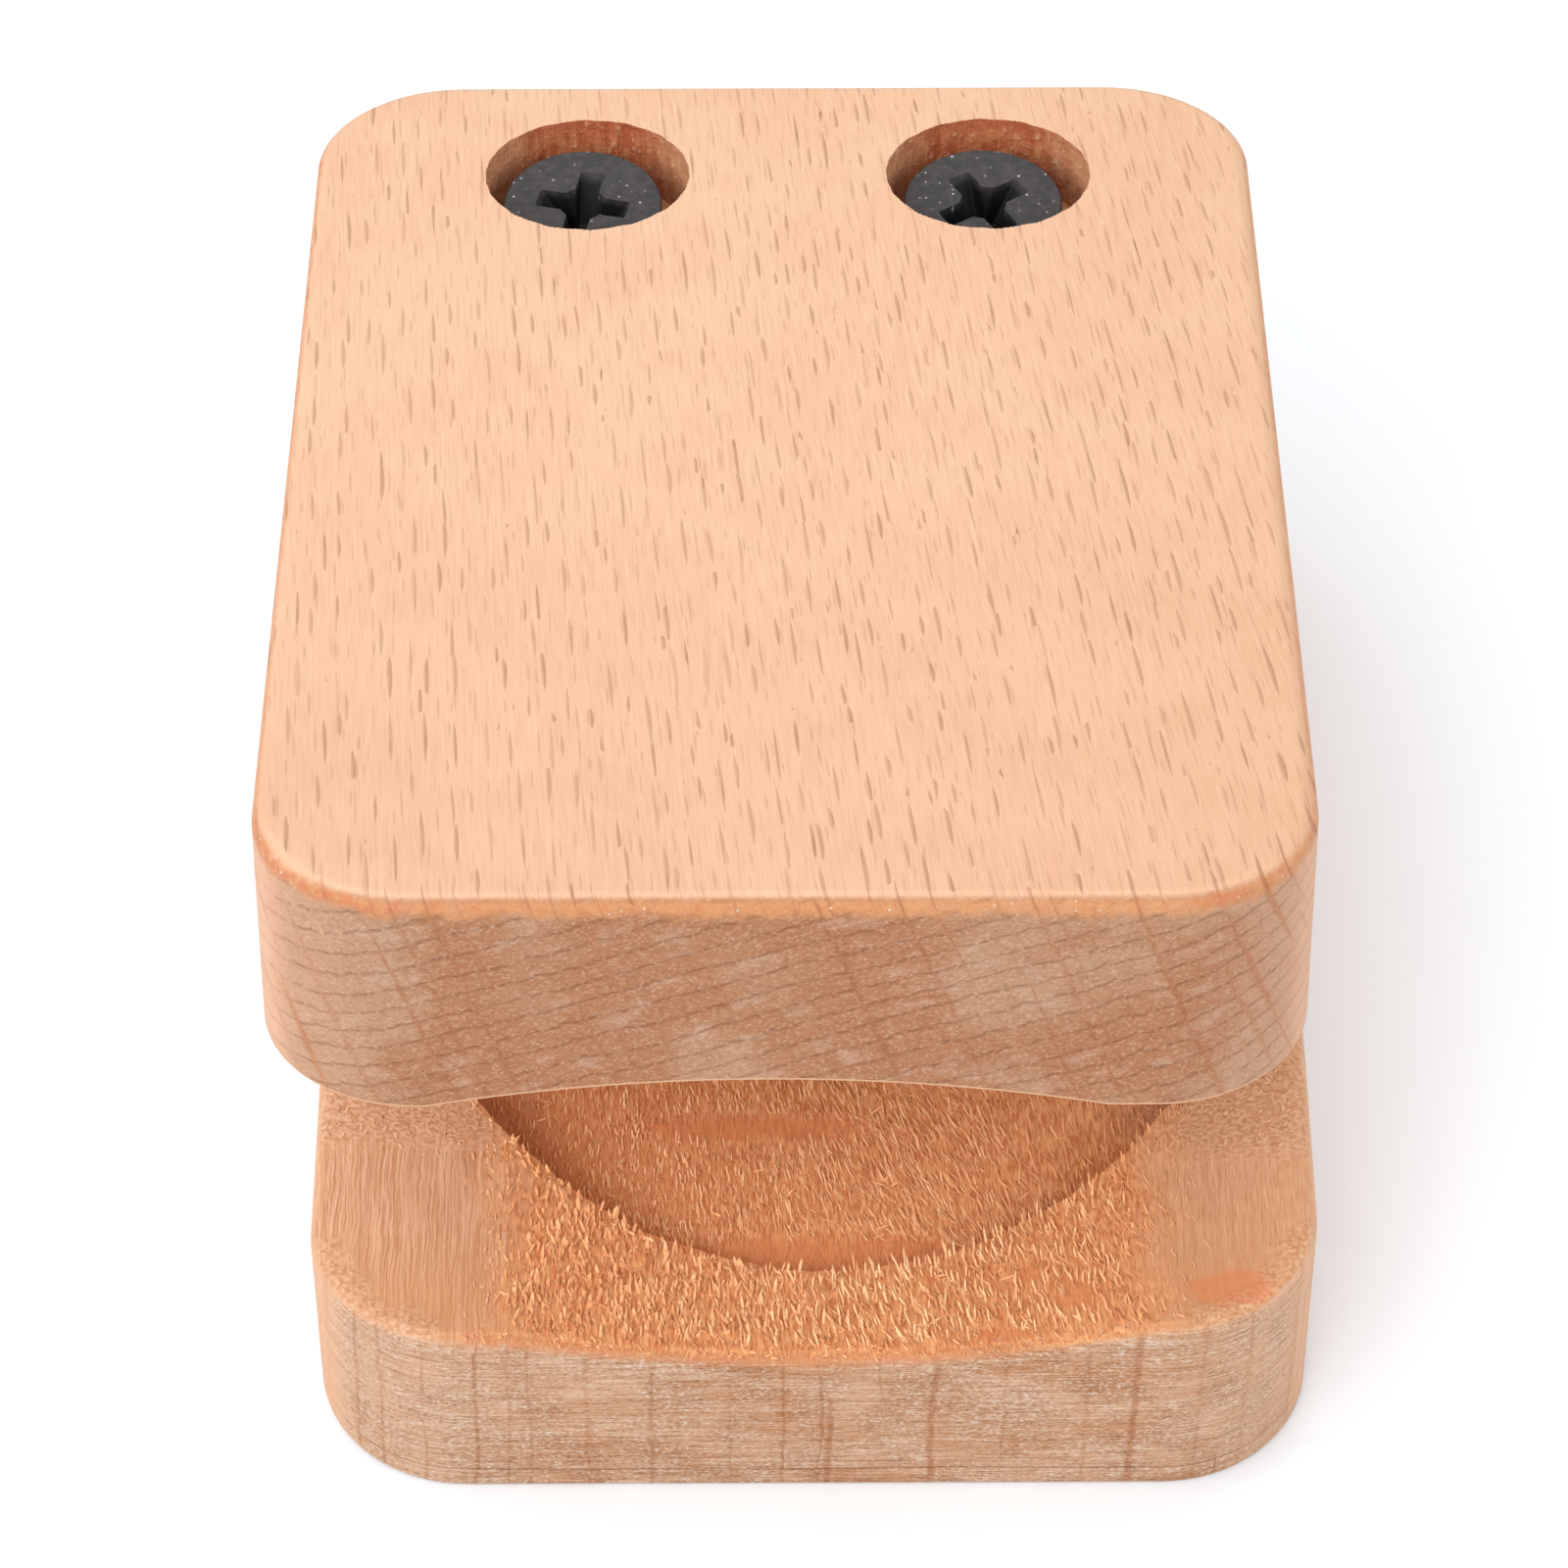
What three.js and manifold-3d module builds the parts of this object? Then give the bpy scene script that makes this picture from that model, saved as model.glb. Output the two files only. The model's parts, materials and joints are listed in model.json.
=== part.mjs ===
// Cajon castanet: two hollowed beech boards on a rubber wedge, clapped together at the front.
// Units are millimetres, +Z is up, and the open mouth looks along -Y.
// The origin is the centre of the lower board's flat underside.

import * as THREE from 'three';
import { mergeVertices, toCreasedNormals } from 'three/addons/utils/BufferGeometryUtils.js';
import Module from 'manifold-3d';

const wasm = await Module();
wasm.setup();

// Boards
const BOARD_WIDTH = 56;
const BOARD_LENGTH = 80;
const LOWER_THICKNESS = 14;
const UPPER_THICKNESS = 14;
const CORNER_RADIUS = 8.5;
const EDGE_ROUND = 1;

// Sound hollow, the same in both inner faces
const RECESS_DIAMETER = 48;
const RECESS_DEPTH = 3.2;
const RECESS_FROM_FRONT = 30;
const SCOOP_WIDTH = 36;
const SCOOP_DEPTH = 2.5;

// Place of the upper board over the lower one, with the mouth open
const OPEN_ANGLE = THREE.MathUtils.degToRad(10);
const REAR_GAP = 4;
const UPPER_SHIFT = -1.5;

// Countersunk wood screws
const SCREW_SPACING = 24;
const SCREW_FROM_REAR = 9;
const SHANK_DIAMETER = 3.6;
const HEAD_DIAMETER = 9.5;
const HEAD_RIM = 0.4;
const HEAD_SLOPE = THREE.MathUtils.degToRad(45);
const POINT_LENGTH = 5;
const WOOD_UNDER_POINT = 2.3;

// Cross recess in the screw heads, and how far each screw happens to be turned
const CROSS_SPAN = 5.6;
const CROSS_FLOOR_SPAN = 2.4;
const CROSS_ARM = 1.4;
const CROSS_DEPTH = 2.4;
const LEFT_TURN = THREE.MathUtils.degToRad(-12);
const RIGHT_TURN = THREE.MathUtils.degToRad(32);

// Screw holes in the upper board, wide enough for it to rock under the heads
const COUNTERBORE_DEPTH = 4.5;
const COUNTERBORE_PLAY = 0.5;
const HOLE_PLAY = 0.4;
const SEAT_GAP = 0.3;
const SEAT_FORWARD = 0.4;

// Holes that hold the screws below
const PILOT_PLAY = 0.3;
const WEDGE_HOLE_PLAY = 0.4;

// Rubber wedge between the boards at the rear
const WEDGE_WIDTH = 48;
const WEDGE_LENGTH = 20;
const WEDGE_FROM_REAR = 2;
const WEDGE_CORNER = 4;
const WEDGE_GAP = 0.2;

// Facets of the round forms
const CORNER_STEPS = 8;
const EDGE_STEPS = 3;
const RECESS_STEPS = 72;
const SCOOP_STEPS = 180;
const HOLE_STEPS = 40;
const CREASE = THREE.MathUtils.degToRad(32);

// Worked out from the driving sizes
const WEB = UPPER_THICKNESS - COUNTERBORE_DEPTH;
const SHANK_RADIUS = SHANK_DIAMETER / 2;
const HEAD_RADIUS = HEAD_DIAMETER / 2;
const SIN_OPEN = Math.sin(OPEN_ANGLE);
const COS_OPEN = Math.cos(OPEN_ANGLE);
const HOLE_RADIUS = SHANK_RADIUS / COS_OPEN + WEB * Math.tan(OPEN_ANGLE) - SEAT_FORWARD + HOLE_PLAY;

// Distance of the hinge line from the upper board's rear edge, measured along that board:
// its rear edge stands straight above the lower board's.
const HINGE_FROM_REAR = (SCREW_FROM_REAR + WEB * SIN_OPEN) / COS_OPEN;
const HINGE_Y = BOARD_LENGTH / 2 - SCREW_FROM_REAR;
const HINGE_Z = LOWER_THICKNESS + REAR_GAP + HINGE_FROM_REAR * SIN_OPEN + WEB * COS_OPEN;
const HOLE_Y = BOARD_LENGTH / 2 - HINGE_FROM_REAR + SEAT_FORWARD;

// The head's cone ends this far below the hinge line, so that the tilted cone just clears the hole's edge.
const LEANING_SLOPE = HEAD_SLOPE + OPEN_ANGLE;
const CONE_REACH = HOLE_RADIUS - SEAT_FORWARD - SEAT_GAP / Math.cos(LEANING_SLOPE);
const CONE_BELOW_HINGE = CONE_REACH / (COS_OPEN * Math.tan(LEANING_SLOPE) - SIN_OPEN);
const CONE_RISE = 1 / Math.tan(HEAD_SLOPE);
const RIM_ABOVE_HINGE = HEAD_RADIUS * CONE_RISE - CONE_BELOW_HINGE;
const HEAD_ABOVE_HINGE = RIM_ABOVE_HINGE + HEAD_RIM;
const HEAD_LEAN = SEAT_FORWARD + HEAD_ABOVE_HINGE * SIN_OPEN;
const COUNTERBORE_RADIUS = HEAD_LEAN + HEAD_RADIUS * COS_OPEN + COUNTERBORE_PLAY;

const SCREW_X = [-SCREW_SPACING / 2, SCREW_SPACING / 2];
const BEYOND = BOARD_LENGTH + BOARD_WIDTH;

// Finishes
const paleBeech = new THREE.MeshStandardMaterial({ color: '#f3c8a0', roughness: 0.6, metalness: 0 });
const warmBeech = new THREE.MeshStandardMaterial({ color: '#e2ab77', roughness: 0.7, metalness: 0 });
const blackSteel = new THREE.MeshStandardMaterial({ color: '#3a3a3c', roughness: 0.55, metalness: 0.6 });
const blackRubber = new THREE.MeshStandardMaterial({ color: '#1c1c1d', roughness: 0.85, metalness: 0 });

// Solids for cutting and joining
function solid(geometry) {
  geometry.deleteAttribute('normal');
  geometry.deleteAttribute('uv');
  const merged = mergeVertices(geometry);
  return new wasm.Manifold(new wasm.Mesh({
    numProp: 3,
    vertProperties: merged.attributes.position.array,
    triVerts: new Uint32Array(merged.index.array),
  }));
}

function geometryOf(cut) {
  const mesh = cut.getMesh();
  const geometry = new THREE.BufferGeometry();
  geometry.setAttribute('position', new THREE.BufferAttribute(new Float32Array(mesh.vertProperties), 3));
  geometry.setIndex(new THREE.BufferAttribute(new Uint32Array(mesh.triVerts), 1));
  return toCreasedNormals(geometry, CREASE);
}

function roundedRectangle(width, length, radius) {
  const x = width / 2 - radius;
  const y = length / 2 - radius;
  const outline = new THREE.Shape();
  outline.absarc(x, -y, radius, -Math.PI / 2, 0);
  outline.absarc(x, y, radius, 0, Math.PI / 2);
  outline.absarc(-x, y, radius, Math.PI / 2, Math.PI);
  outline.absarc(-x, -y, radius, Math.PI, 1.5 * Math.PI);
  outline.closePath();
  return outline;
}

// Upright round cutter between two heights
function drill(radius, x, y, bottom, top, steps = HOLE_STEPS) {
  const round = new THREE.CylinderGeometry(radius, radius, top - bottom, steps);
  round.rotateX(Math.PI / 2);
  round.translate(x, y, (bottom + top) / 2);
  return solid(round);
}

// A board with its outer face at z = 0, softened along that face, and its hollowed inner face at z = thickness
function hollowBoard(thickness) {
  const blank = new THREE.ExtrudeGeometry(roundedRectangle(BOARD_WIDTH, BOARD_LENGTH, CORNER_RADIUS), {
    depth: thickness,
    curveSegments: CORNER_STEPS,
    bevelThickness: EDGE_ROUND,
    bevelSize: EDGE_ROUND,
    bevelOffset: -EDGE_ROUND,
    bevelSegments: EDGE_STEPS,
  });
  blank.translate(0, 0, EDGE_ROUND);

  const inner = new THREE.BoxGeometry(BEYOND, BEYOND, BEYOND);
  inner.translate(0, 0, thickness + BEYOND / 2);

  const recessY = RECESS_FROM_FRONT - BOARD_LENGTH / 2;
  const recess = drill(RECESS_DIAMETER / 2, 0, recessY, thickness - RECESS_DEPTH, thickness + BEYOND, RECESS_STEPS);

  const scoopRadius = (SCOOP_WIDTH ** 2 / 4 + SCOOP_DEPTH ** 2) / (2 * SCOOP_DEPTH);
  const scoop = new THREE.CylinderGeometry(scoopRadius, scoopRadius, BEYOND, SCOOP_STEPS);
  scoop.translate(0, recessY - BEYOND / 2, thickness - SCOOP_DEPTH + scoopRadius);

  return solid(blank).subtract(solid(inner)).subtract(recess).subtract(solid(scoop));
}

function lowerBoard() {
  let board = hollowBoard(LOWER_THICKNESS);
  for (const x of SCREW_X) {
    const floor = WOOD_UNDER_POINT - PILOT_PLAY;
    const pilot = drill(SHANK_RADIUS + PILOT_PLAY, x + UPPER_SHIFT, HINGE_Y, floor, LOWER_THICKNESS + BEYOND);
    board = board.subtract(pilot);
  }
  return geometryOf(board);
}

function upperBoard() {
  let board = hollowBoard(UPPER_THICKNESS);
  for (const x of SCREW_X) {
    board = board.subtract(drill(COUNTERBORE_RADIUS, x, HOLE_Y, -BEYOND, COUNTERBORE_DEPTH));
    board = board.subtract(drill(HOLE_RADIUS, x, HOLE_Y, -BEYOND, UPPER_THICKNESS + BEYOND));
  }
  return geometryOf(board);
}

// One tapered arm pair of the cross recess, from the head's top down
function crossArm() {
  const arm = new THREE.Shape();
  arm.moveTo(-CROSS_FLOOR_SPAN / 2, -CROSS_DEPTH);
  arm.lineTo(CROSS_FLOOR_SPAN / 2, -CROSS_DEPTH);
  arm.lineTo(CROSS_SPAN / 2, 0);
  arm.lineTo(CROSS_SPAN / 2, HEAD_RIM);
  arm.lineTo(-CROSS_SPAN / 2, HEAD_RIM);
  arm.lineTo(-CROSS_SPAN / 2, 0);
  const slot = new THREE.ExtrudeGeometry(arm, { depth: CROSS_ARM, bevelEnabled: false });
  slot.translate(0, 0, -CROSS_ARM / 2);
  slot.rotateX(Math.PI / 2);
  return slot;
}

// A screw on the Z axis, with z = 0 on the hinge line
function screw() {
  const point = WOOD_UNDER_POINT - HINGE_Z;
  const profile = [
    new THREE.Vector2(0, point),
    new THREE.Vector2(SHANK_RADIUS, point + POINT_LENGTH),
    new THREE.Vector2(SHANK_RADIUS, SHANK_RADIUS * CONE_RISE - CONE_BELOW_HINGE),
    new THREE.Vector2(HEAD_RADIUS, RIM_ABOVE_HINGE),
    new THREE.Vector2(HEAD_RADIUS, HEAD_ABOVE_HINGE),
    new THREE.Vector2(0, HEAD_ABOVE_HINGE),
  ];
  const turned = new THREE.LatheGeometry(profile, HOLE_STEPS);
  turned.rotateX(Math.PI / 2);

  const along = crossArm().translate(0, 0, HEAD_ABOVE_HINGE);
  const across = crossArm().rotateZ(Math.PI / 2).translate(0, 0, HEAD_ABOVE_HINGE);
  return geometryOf(solid(turned).subtract(solid(along)).subtract(solid(across)));
}

// The wedge stands on the lower board and is cut to the slope of the upper board's underside
function rubberWedge() {
  const block = new THREE.ExtrudeGeometry(roundedRectangle(WEDGE_WIDTH, WEDGE_LENGTH, WEDGE_CORNER), {
    depth: BEYOND,
    curveSegments: CORNER_STEPS,
    bevelEnabled: false,
  });
  const wedgeY = BOARD_LENGTH / 2 - WEDGE_FROM_REAR - WEDGE_LENGTH / 2;
  block.translate(UPPER_SHIFT / 2, wedgeY, LOWER_THICKNESS + WEDGE_GAP);

  const above = new THREE.BoxGeometry(2 * BEYOND, 2 * BEYOND, 2 * BEYOND);
  above.translate(0, 0, BEYOND - WEB - WEDGE_GAP);
  above.rotateX(-OPEN_ANGLE);
  above.translate(0, HINGE_Y, HINGE_Z);

  let wedge = solid(block).subtract(solid(above));
  for (const x of SCREW_X) {
    wedge = wedge.subtract(drill(SHANK_RADIUS + WEDGE_HOLE_PLAY, x + UPPER_SHIFT, HINGE_Y, 0, BEYOND));
  }
  return geometryOf(wedge);
}

function piece(name, geometry, material) {
  const mesh = new THREE.Mesh(geometry, material);
  mesh.name = name;
  return mesh;
}

// Assembly
const castanet = new THREE.Group();
castanet.add(piece('lower_board', lowerBoard(), warmBeech));
castanet.add(piece('rubber_wedge', rubberWedge(), blackRubber));

const hinge = new THREE.Group();
hinge.position.set(UPPER_SHIFT, HINGE_Y, HINGE_Z);
castanet.add(hinge);

const leftScrew = piece('left_screw', screw(), blackSteel);
leftScrew.position.x = SCREW_X[0];
leftScrew.rotation.z = LEFT_TURN;
const rightScrew = piece('right_screw', screw(), blackSteel);
rightScrew.position.x = SCREW_X[1];
rightScrew.rotation.z = RIGHT_TURN;
hinge.add(leftScrew, rightScrew);

// The upper board hangs on the hinge line with its outer face up and its front raised
const rocker = new THREE.Group();
rocker.rotation.x = -OPEN_ANGLE;
hinge.add(rocker);
const upper = piece('upper_board', upperBoard(), paleBeech);
upper.position.set(0, SEAT_FORWARD - HOLE_Y, COUNTERBORE_DEPTH);
upper.rotation.y = Math.PI;
rocker.add(upper);

export default castanet;
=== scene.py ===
import json
import math
import random

import bpy
from mathutils import Matrix, Vector, noise


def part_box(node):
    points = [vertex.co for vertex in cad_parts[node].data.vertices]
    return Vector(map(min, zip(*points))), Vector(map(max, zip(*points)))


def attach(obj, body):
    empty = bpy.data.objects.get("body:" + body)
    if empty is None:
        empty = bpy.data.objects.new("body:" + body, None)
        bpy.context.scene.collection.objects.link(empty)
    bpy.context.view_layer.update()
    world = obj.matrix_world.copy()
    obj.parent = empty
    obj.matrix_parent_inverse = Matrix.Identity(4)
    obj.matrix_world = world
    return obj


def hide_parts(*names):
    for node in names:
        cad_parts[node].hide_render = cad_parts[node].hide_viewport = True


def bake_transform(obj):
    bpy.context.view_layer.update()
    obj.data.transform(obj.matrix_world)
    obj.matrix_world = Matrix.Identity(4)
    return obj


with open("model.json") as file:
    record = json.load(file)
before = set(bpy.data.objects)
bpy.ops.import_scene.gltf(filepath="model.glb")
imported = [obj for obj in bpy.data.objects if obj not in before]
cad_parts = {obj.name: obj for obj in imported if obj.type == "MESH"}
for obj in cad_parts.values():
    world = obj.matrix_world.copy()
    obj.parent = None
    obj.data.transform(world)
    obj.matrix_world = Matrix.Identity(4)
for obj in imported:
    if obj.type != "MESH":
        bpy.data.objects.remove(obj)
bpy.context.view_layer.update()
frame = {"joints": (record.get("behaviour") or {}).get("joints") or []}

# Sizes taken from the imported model
MM = 0.001
BASE_LOW, BASE_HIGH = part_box("lower_board")
WIDTH, LENGTH, THICKNESS = BASE_HIGH - BASE_LOW
HINGE = Vector(frame["joints"][0]["pos_m"])
SCREW_FROM_REAR = BASE_HIGH.y - HINGE.y
SCREW_LOW, SCREW_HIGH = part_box("left_screw")
WEDGE_LOW, WEDGE_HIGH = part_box("rubber_wedge")

# Boards
OPEN_ANGLE = math.radians(10)
CORNER_RADIUS = 8.5 * MM
LOWER_EDGE_ROUND = 0.35 * MM
UPPER_EDGE_ROUND = 0.95 * MM
CORNER_SEGMENTS = 18
EDGE_SEGMENTS = 6
SPARE_WOOD = 1.5 * MM
LOWER_LIP_ROUND = 0.9 * MM
UPPER_LIP_ROUND = 0.3 * MM
ON_OUTLINE = 0.02 * MM
SMOOTH_ANGLE = math.radians(18)
FLAT_ANGLE = math.radians(0.05)
NORMAL_WEIGHT = 80

# Hollow of both boards, which the jig set a little off the middle
RECESS_RADIUS = 23.7 * MM
RECESS_DEPTH = 3.2 * MM
RECESS_X = 1.0 * MM
RECESS_Y = 30.0 * MM - LENGTH / 2
RECESS_SIDES = 260
RIM_FRAY = 0.13 * MM
SCOOP_WIDTH = 36.0 * MM
LOWER_SCOOP_DEPTH = 2.15 * MM
UPPER_SCOOP_DEPTH = 1.8 * MM
SCOOP_SIDES = 600

# The lower board was planed a little thinner on its left
LEAN = math.radians(1.15)
LEAN_PIVOT = Vector((26.5 * MM, 0, THICKNESS + 0.15 * MM))

# Torn fibres: how they are drawn, and how one is shaped
LOWER_FIBRES = {"tries": 30000, "seed": 11, "front_gap": 1.0 * MM}
UPPER_FIBRES = {"tries": 12000, "seed": 23, "front_gap": 3.0 * MM}
RIM_FIBRES = 420
MOUTH_FIBRES = 200
CRUMBS = 3000
FIBRE_BEND = 0.7
FIBRE_SWELL = 2.8
FIBRE_TIP = (0.15, 0, 0.3)
FIBRE_ROLL = 0.9
ROOT_SUNK = 0.15
TUFT_SIZE = 1.6 * MM
STRAY_SHARE = 0.025
FORWARD_SHARE = 0.6
LEFT_DULL = 0.3
SCOOP_PALER = 0.16
RIGHT_DARKER = 0.45

# Where the fibres stand: how level the wood is, how far the fuzz reaches, and where it is thin
LEVEL = 0.8
FUZZ_OUTER = 20.5 * MM
FUZZ_INNER = 14.5 * MM
FUZZ_STRAY = 2.5 * MM
RIM_FADE = 1.5 * MM
THIN_LEFT_OF = -12 * MM
THIN_LEFT = 0.4
THIN_BEHIND = -6 * MM
THIN_REAR = 0.3
BALD_X = 14.5 * MM
BALD_Y = -23 * MM
BALD_WIDTH = 5.5 * MM
BALD_LENGTH = 5 * MM
BALDNESS = 0.92
BAND_SLANT = 0.0375

# Spots that the cutter rubbed smooth and brown: middle and half sizes on the lower board, in mm
RUBBED = (
    (0.3, -31.8, 7.3, 1.25),
    (-3.0, -22.6, 6.2, 0.8),
    (23.0, -37.0, 2.4, 1.1),
    (10.1, -38.9, 1.3, 0.45),
    (11.9, -34.8, 0.7, 0.5),
    (14.4, -36.8, 1.0, 0.7),
)
RUBBED_MARGIN = 0.25

# Screws and their holes
SCREW_SPACING = 24.0 * MM
SCREW_SIDES = 64
SHANK_RADIUS = 1.8 * MM
HEAD_RADIUS = 4.75 * MM
HEAD_RIM = 0.4 * MM
HEAD_SOFTENING = 0.18 * MM
POINT_LENGTH = 5.0 * MM
POINT_SHARE = 0.06
CROSS_SPAN = 6.0 * MM
CROSS_FLOOR = 2.4 * MM
CROSS_ARM = 1.5 * MM
CROSS_ARM_TAPER = 0.75
CROSS_DEPTH = 2.8 * MM
CROSS_SOFTENING = 0.15 * MM
FLARE_FLOOR = 0.7 * CROSS_ARM
FLARE_MOUTH = 1.3 * CROSS_ARM
FLARE_SUNK = 0.49 * CROSS_DEPTH
LEFT_TURN = math.radians(-12)
RIGHT_TURN = math.radians(32)
THREAD_PITCH = 2.0 * MM
THREAD_HEIGHT = 0.65 * MM
THREAD_HALF = 0.3 * MM
THREAD_SUNK = 0.2 * MM
THREAD_RUNOUT = 0.3 * MM
THREAD_STEPS = 28
MERGE = 0.001 * MM
COUNTERBORE_DEPTH = 4.5 * MM
COUNTERBORE_RADIUS = 6.1 * MM
COUNTERBORE_SIDES = 256
HOLE_RADIUS = 3.5 * MM
SEAT_FORWARD = 0.4 * MM
PILOT_RADIUS = SHANK_RADIUS + 0.3 * MM
BORE_SIDES = 96
BORE_FRAY = 0.08 * MM
BORE_SET = 0.3 * MM

# Rubber wedge
WEDGE_CORNER = 4.0 * MM
WEDGE_CORNER_SEGMENTS = 10
WEDGE_BULGE = 0.5 * MM
WEDGE_TUCK = 0.25
WEDGE_RINGS = 10
WEDGE_NIP = 0.05 * MM
WEDGE_HOLE_RADIUS = SHANK_RADIUS + 0.4 * MM
WEDGE_HOLE_SIDES = 48

# Places worked out from the sizes
WEB = THICKNESS - COUNTERBORE_DEPTH
HINGE_FROM_REAR = (SCREW_FROM_REAR + WEB * math.sin(OPEN_ANGLE)) / math.cos(OPEN_ANGLE)
HOLE_Y = LENGTH / 2 - HINGE_FROM_REAR + SEAT_FORWARD
ROCKER = Matrix.Translation(HINGE) @ Matrix.Rotation(-OPEN_ANGLE, 4, "X")
LOWER_PLACE = Matrix.Identity(4)
UPPER_SET = Matrix.Translation((0, SEAT_FORWARD - HOLE_Y, COUNTERBORE_DEPTH))
UPPER_PLACE = ROCKER @ UPPER_SET @ Matrix.Rotation(math.pi, 4, "Y")
PLANED = Vector((LEAN_PIVOT.x, 0, THICKNESS))
LEAN_TURN = Matrix.Rotation(-LEAN, 4, "Y")
LOWER_LEAN = Matrix.Translation(LEAN_PIVOT) @ LEAN_TURN @ Matrix.Translation(-PLANED)
SCREW_X = (-SCREW_SPACING / 2, SCREW_SPACING / 2)


# Modelling steps shared by the pieces

SELECT_MODES = {
    "vertices": (True, False, False),
    "edges": (False, True, False),
    "polygons": (False, False, True),
}


def take_up(piece):
    """Selects one piece alone and makes it active."""
    bpy.ops.object.select_all(action="DESELECT")
    piece.select_set(True)
    bpy.context.view_layer.objects.active = piece


def settle(piece):
    """Puts the piece's place, turn and size into its mesh."""
    take_up(piece)
    bpy.ops.object.transform_apply(location=True, rotation=True, scale=True)
    return piece


def new_piece(name):
    """The primitive that was just added, named and settled."""
    piece = bpy.context.object
    piece.name = name
    piece.data.name = name
    return settle(piece)


def linked_piece(name, data):
    """A new object in the scene that holds a mesh or a camera."""
    piece = bpy.data.objects.new(name, data)
    bpy.context.scene.collection.objects.link(piece)
    return piece


def pick(piece, kind, test):
    """Selects the vertices, edges or polygons of a piece that pass a test, and nothing else."""
    take_up(piece)
    bpy.context.scene.tool_settings.mesh_select_mode = SELECT_MODES[kind]
    mesh = piece.data
    for group in (mesh.vertices, mesh.edges, mesh.polygons):
        group.foreach_set("select", [False] * len(group))
    for element in getattr(mesh, kind):
        element.select = test(element)


def pick_all(piece, kind):
    """Selects every vertex, edge or polygon of a piece."""
    pick(piece, kind, lambda element: True)


def pick_edges(piece, test):
    """Selects the edges whose two ends both pass a test."""
    verts = piece.data.vertices
    pick(piece, "edges", lambda edge: all(test(verts[index].co) for index in edge.vertices))


def shape(operator, **settings):
    """Runs one edit-mode operator on what is picked."""
    bpy.ops.object.mode_set(mode="EDIT")
    operator(**settings)
    bpy.ops.object.mode_set(mode="OBJECT")


def raise_faces(height):
    """Extrudes the picked faces straight up, or down where the height is negative."""
    shape(bpy.ops.mesh.extrude_region_move, TRANSFORM_OT_translate={"value": (0, 0, height)})


def modify(piece, kind, **settings):
    """Adds one modifier, sets it and applies it."""
    take_up(piece)
    modifier = piece.modifiers.new(kind.lower(), kind)
    for name, setting in settings.items():
        setattr(modifier, name, setting)
    bpy.ops.object.modifier_apply(modifier=modifier.name)


def join_solids(piece, other, operation):
    """Cuts another solid out of the piece, or fuses it to the piece, and removes the other."""
    modify(piece, "BOOLEAN", operation=operation, solver="EXACT", object=other)
    bpy.data.objects.remove(other)


def cut(piece, cutter):
    """Takes the cutter's shape out of the piece."""
    join_solids(piece, cutter, "DIFFERENCE")


def smooth(piece):
    """Shades round forms smooth and keeps flat faces flat."""
    take_up(piece)
    bpy.ops.object.shade_smooth_by_angle(angle=SMOOTH_ANGLE)
    modify(piece, "WEIGHTED_NORMAL", weight=NORMAL_WEIGHT, keep_sharp=True)


def hand_over(piece, finish, body, slot, *nodes):
    """Gives a finished piece its material and its body, and hides the CAD parts that it replaces."""
    piece.data.materials.clear()
    piece.data.materials.append(finish)
    if body:
        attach(piece, body)
    if nodes:
        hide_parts(*nodes)


def bell(value, middle, spread):
    """1 at the middle, fading to 0 on both sides."""
    return math.exp(-((value - middle) / spread) ** 2)


def ramp(value, low, high):
    """0 at low and 1 at high, with a soft step between; low above high turns it round."""
    share = min(max((value - low) / (high - low), 0), 1)
    return share * share * (3 - 2 * share)


# Boards, modelled with the outer face on z = 0 and the hollowed inner face up

def fray(angle, depth):
    """How far a torn rim strays from its circle."""
    coarse = math.sin(23 * angle + 1.3) * math.sin(7 * angle)
    fine = math.sin(61 * angle + 0.4) * math.sin(47 * angle + 2.1)
    return depth * (0.5 * coarse + 0.6 * fine)


def round_cutter(radius, x, y, bottom, top, sides, frayed=0.0):
    """An upright round cutter; a frayed one leaves a torn rim."""
    bpy.ops.mesh.primitive_cylinder_add(
        vertices=sides, radius=radius, depth=top - bottom, location=(x, y, (bottom + top) / 2)
    )
    cutter = new_piece("cutter")
    for vert in cutter.data.vertices:
        out = Vector((vert.co.x - x, vert.co.y - y, 0))
        angle = math.atan2(out.y, out.x)
        vert.co += out.normalized() * fray(angle, frayed)
    return cutter


def box_cutter(low, high):
    """A box between two opposite corners."""
    bpy.ops.mesh.primitive_cube_add(size=1, location=(low + high) / 2, scale=high - low)
    return new_piece("cutter")


def scoop_cutter(depth):
    """A wide round cutter lying along the board, over the front half."""
    radius = (SCOOP_WIDTH ** 2 / 4 + depth ** 2) / (2 * depth)
    bpy.ops.mesh.primitive_cylinder_add(
        vertices=SCOOP_SIDES,
        radius=radius,
        depth=LENGTH,
        location=(RECESS_X, RECESS_Y - LENGTH / 2, THICKNESS - depth + radius),
        rotation=(math.pi / 2, 0, 0),
    )
    return new_piece("cutter")


def from_outline(point):
    """Distance of a point inside the board's rounded outline, seen from above."""
    side = Vector((abs(point.x) - WIDTH / 2 + CORNER_RADIUS, abs(point.y) - LENGTH / 2 + CORNER_RADIUS))
    outside = Vector((max(side.x, 0), max(side.y, 0))).length
    return CORNER_RADIUS - outside - min(max(side.x, side.y), 0)


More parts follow.
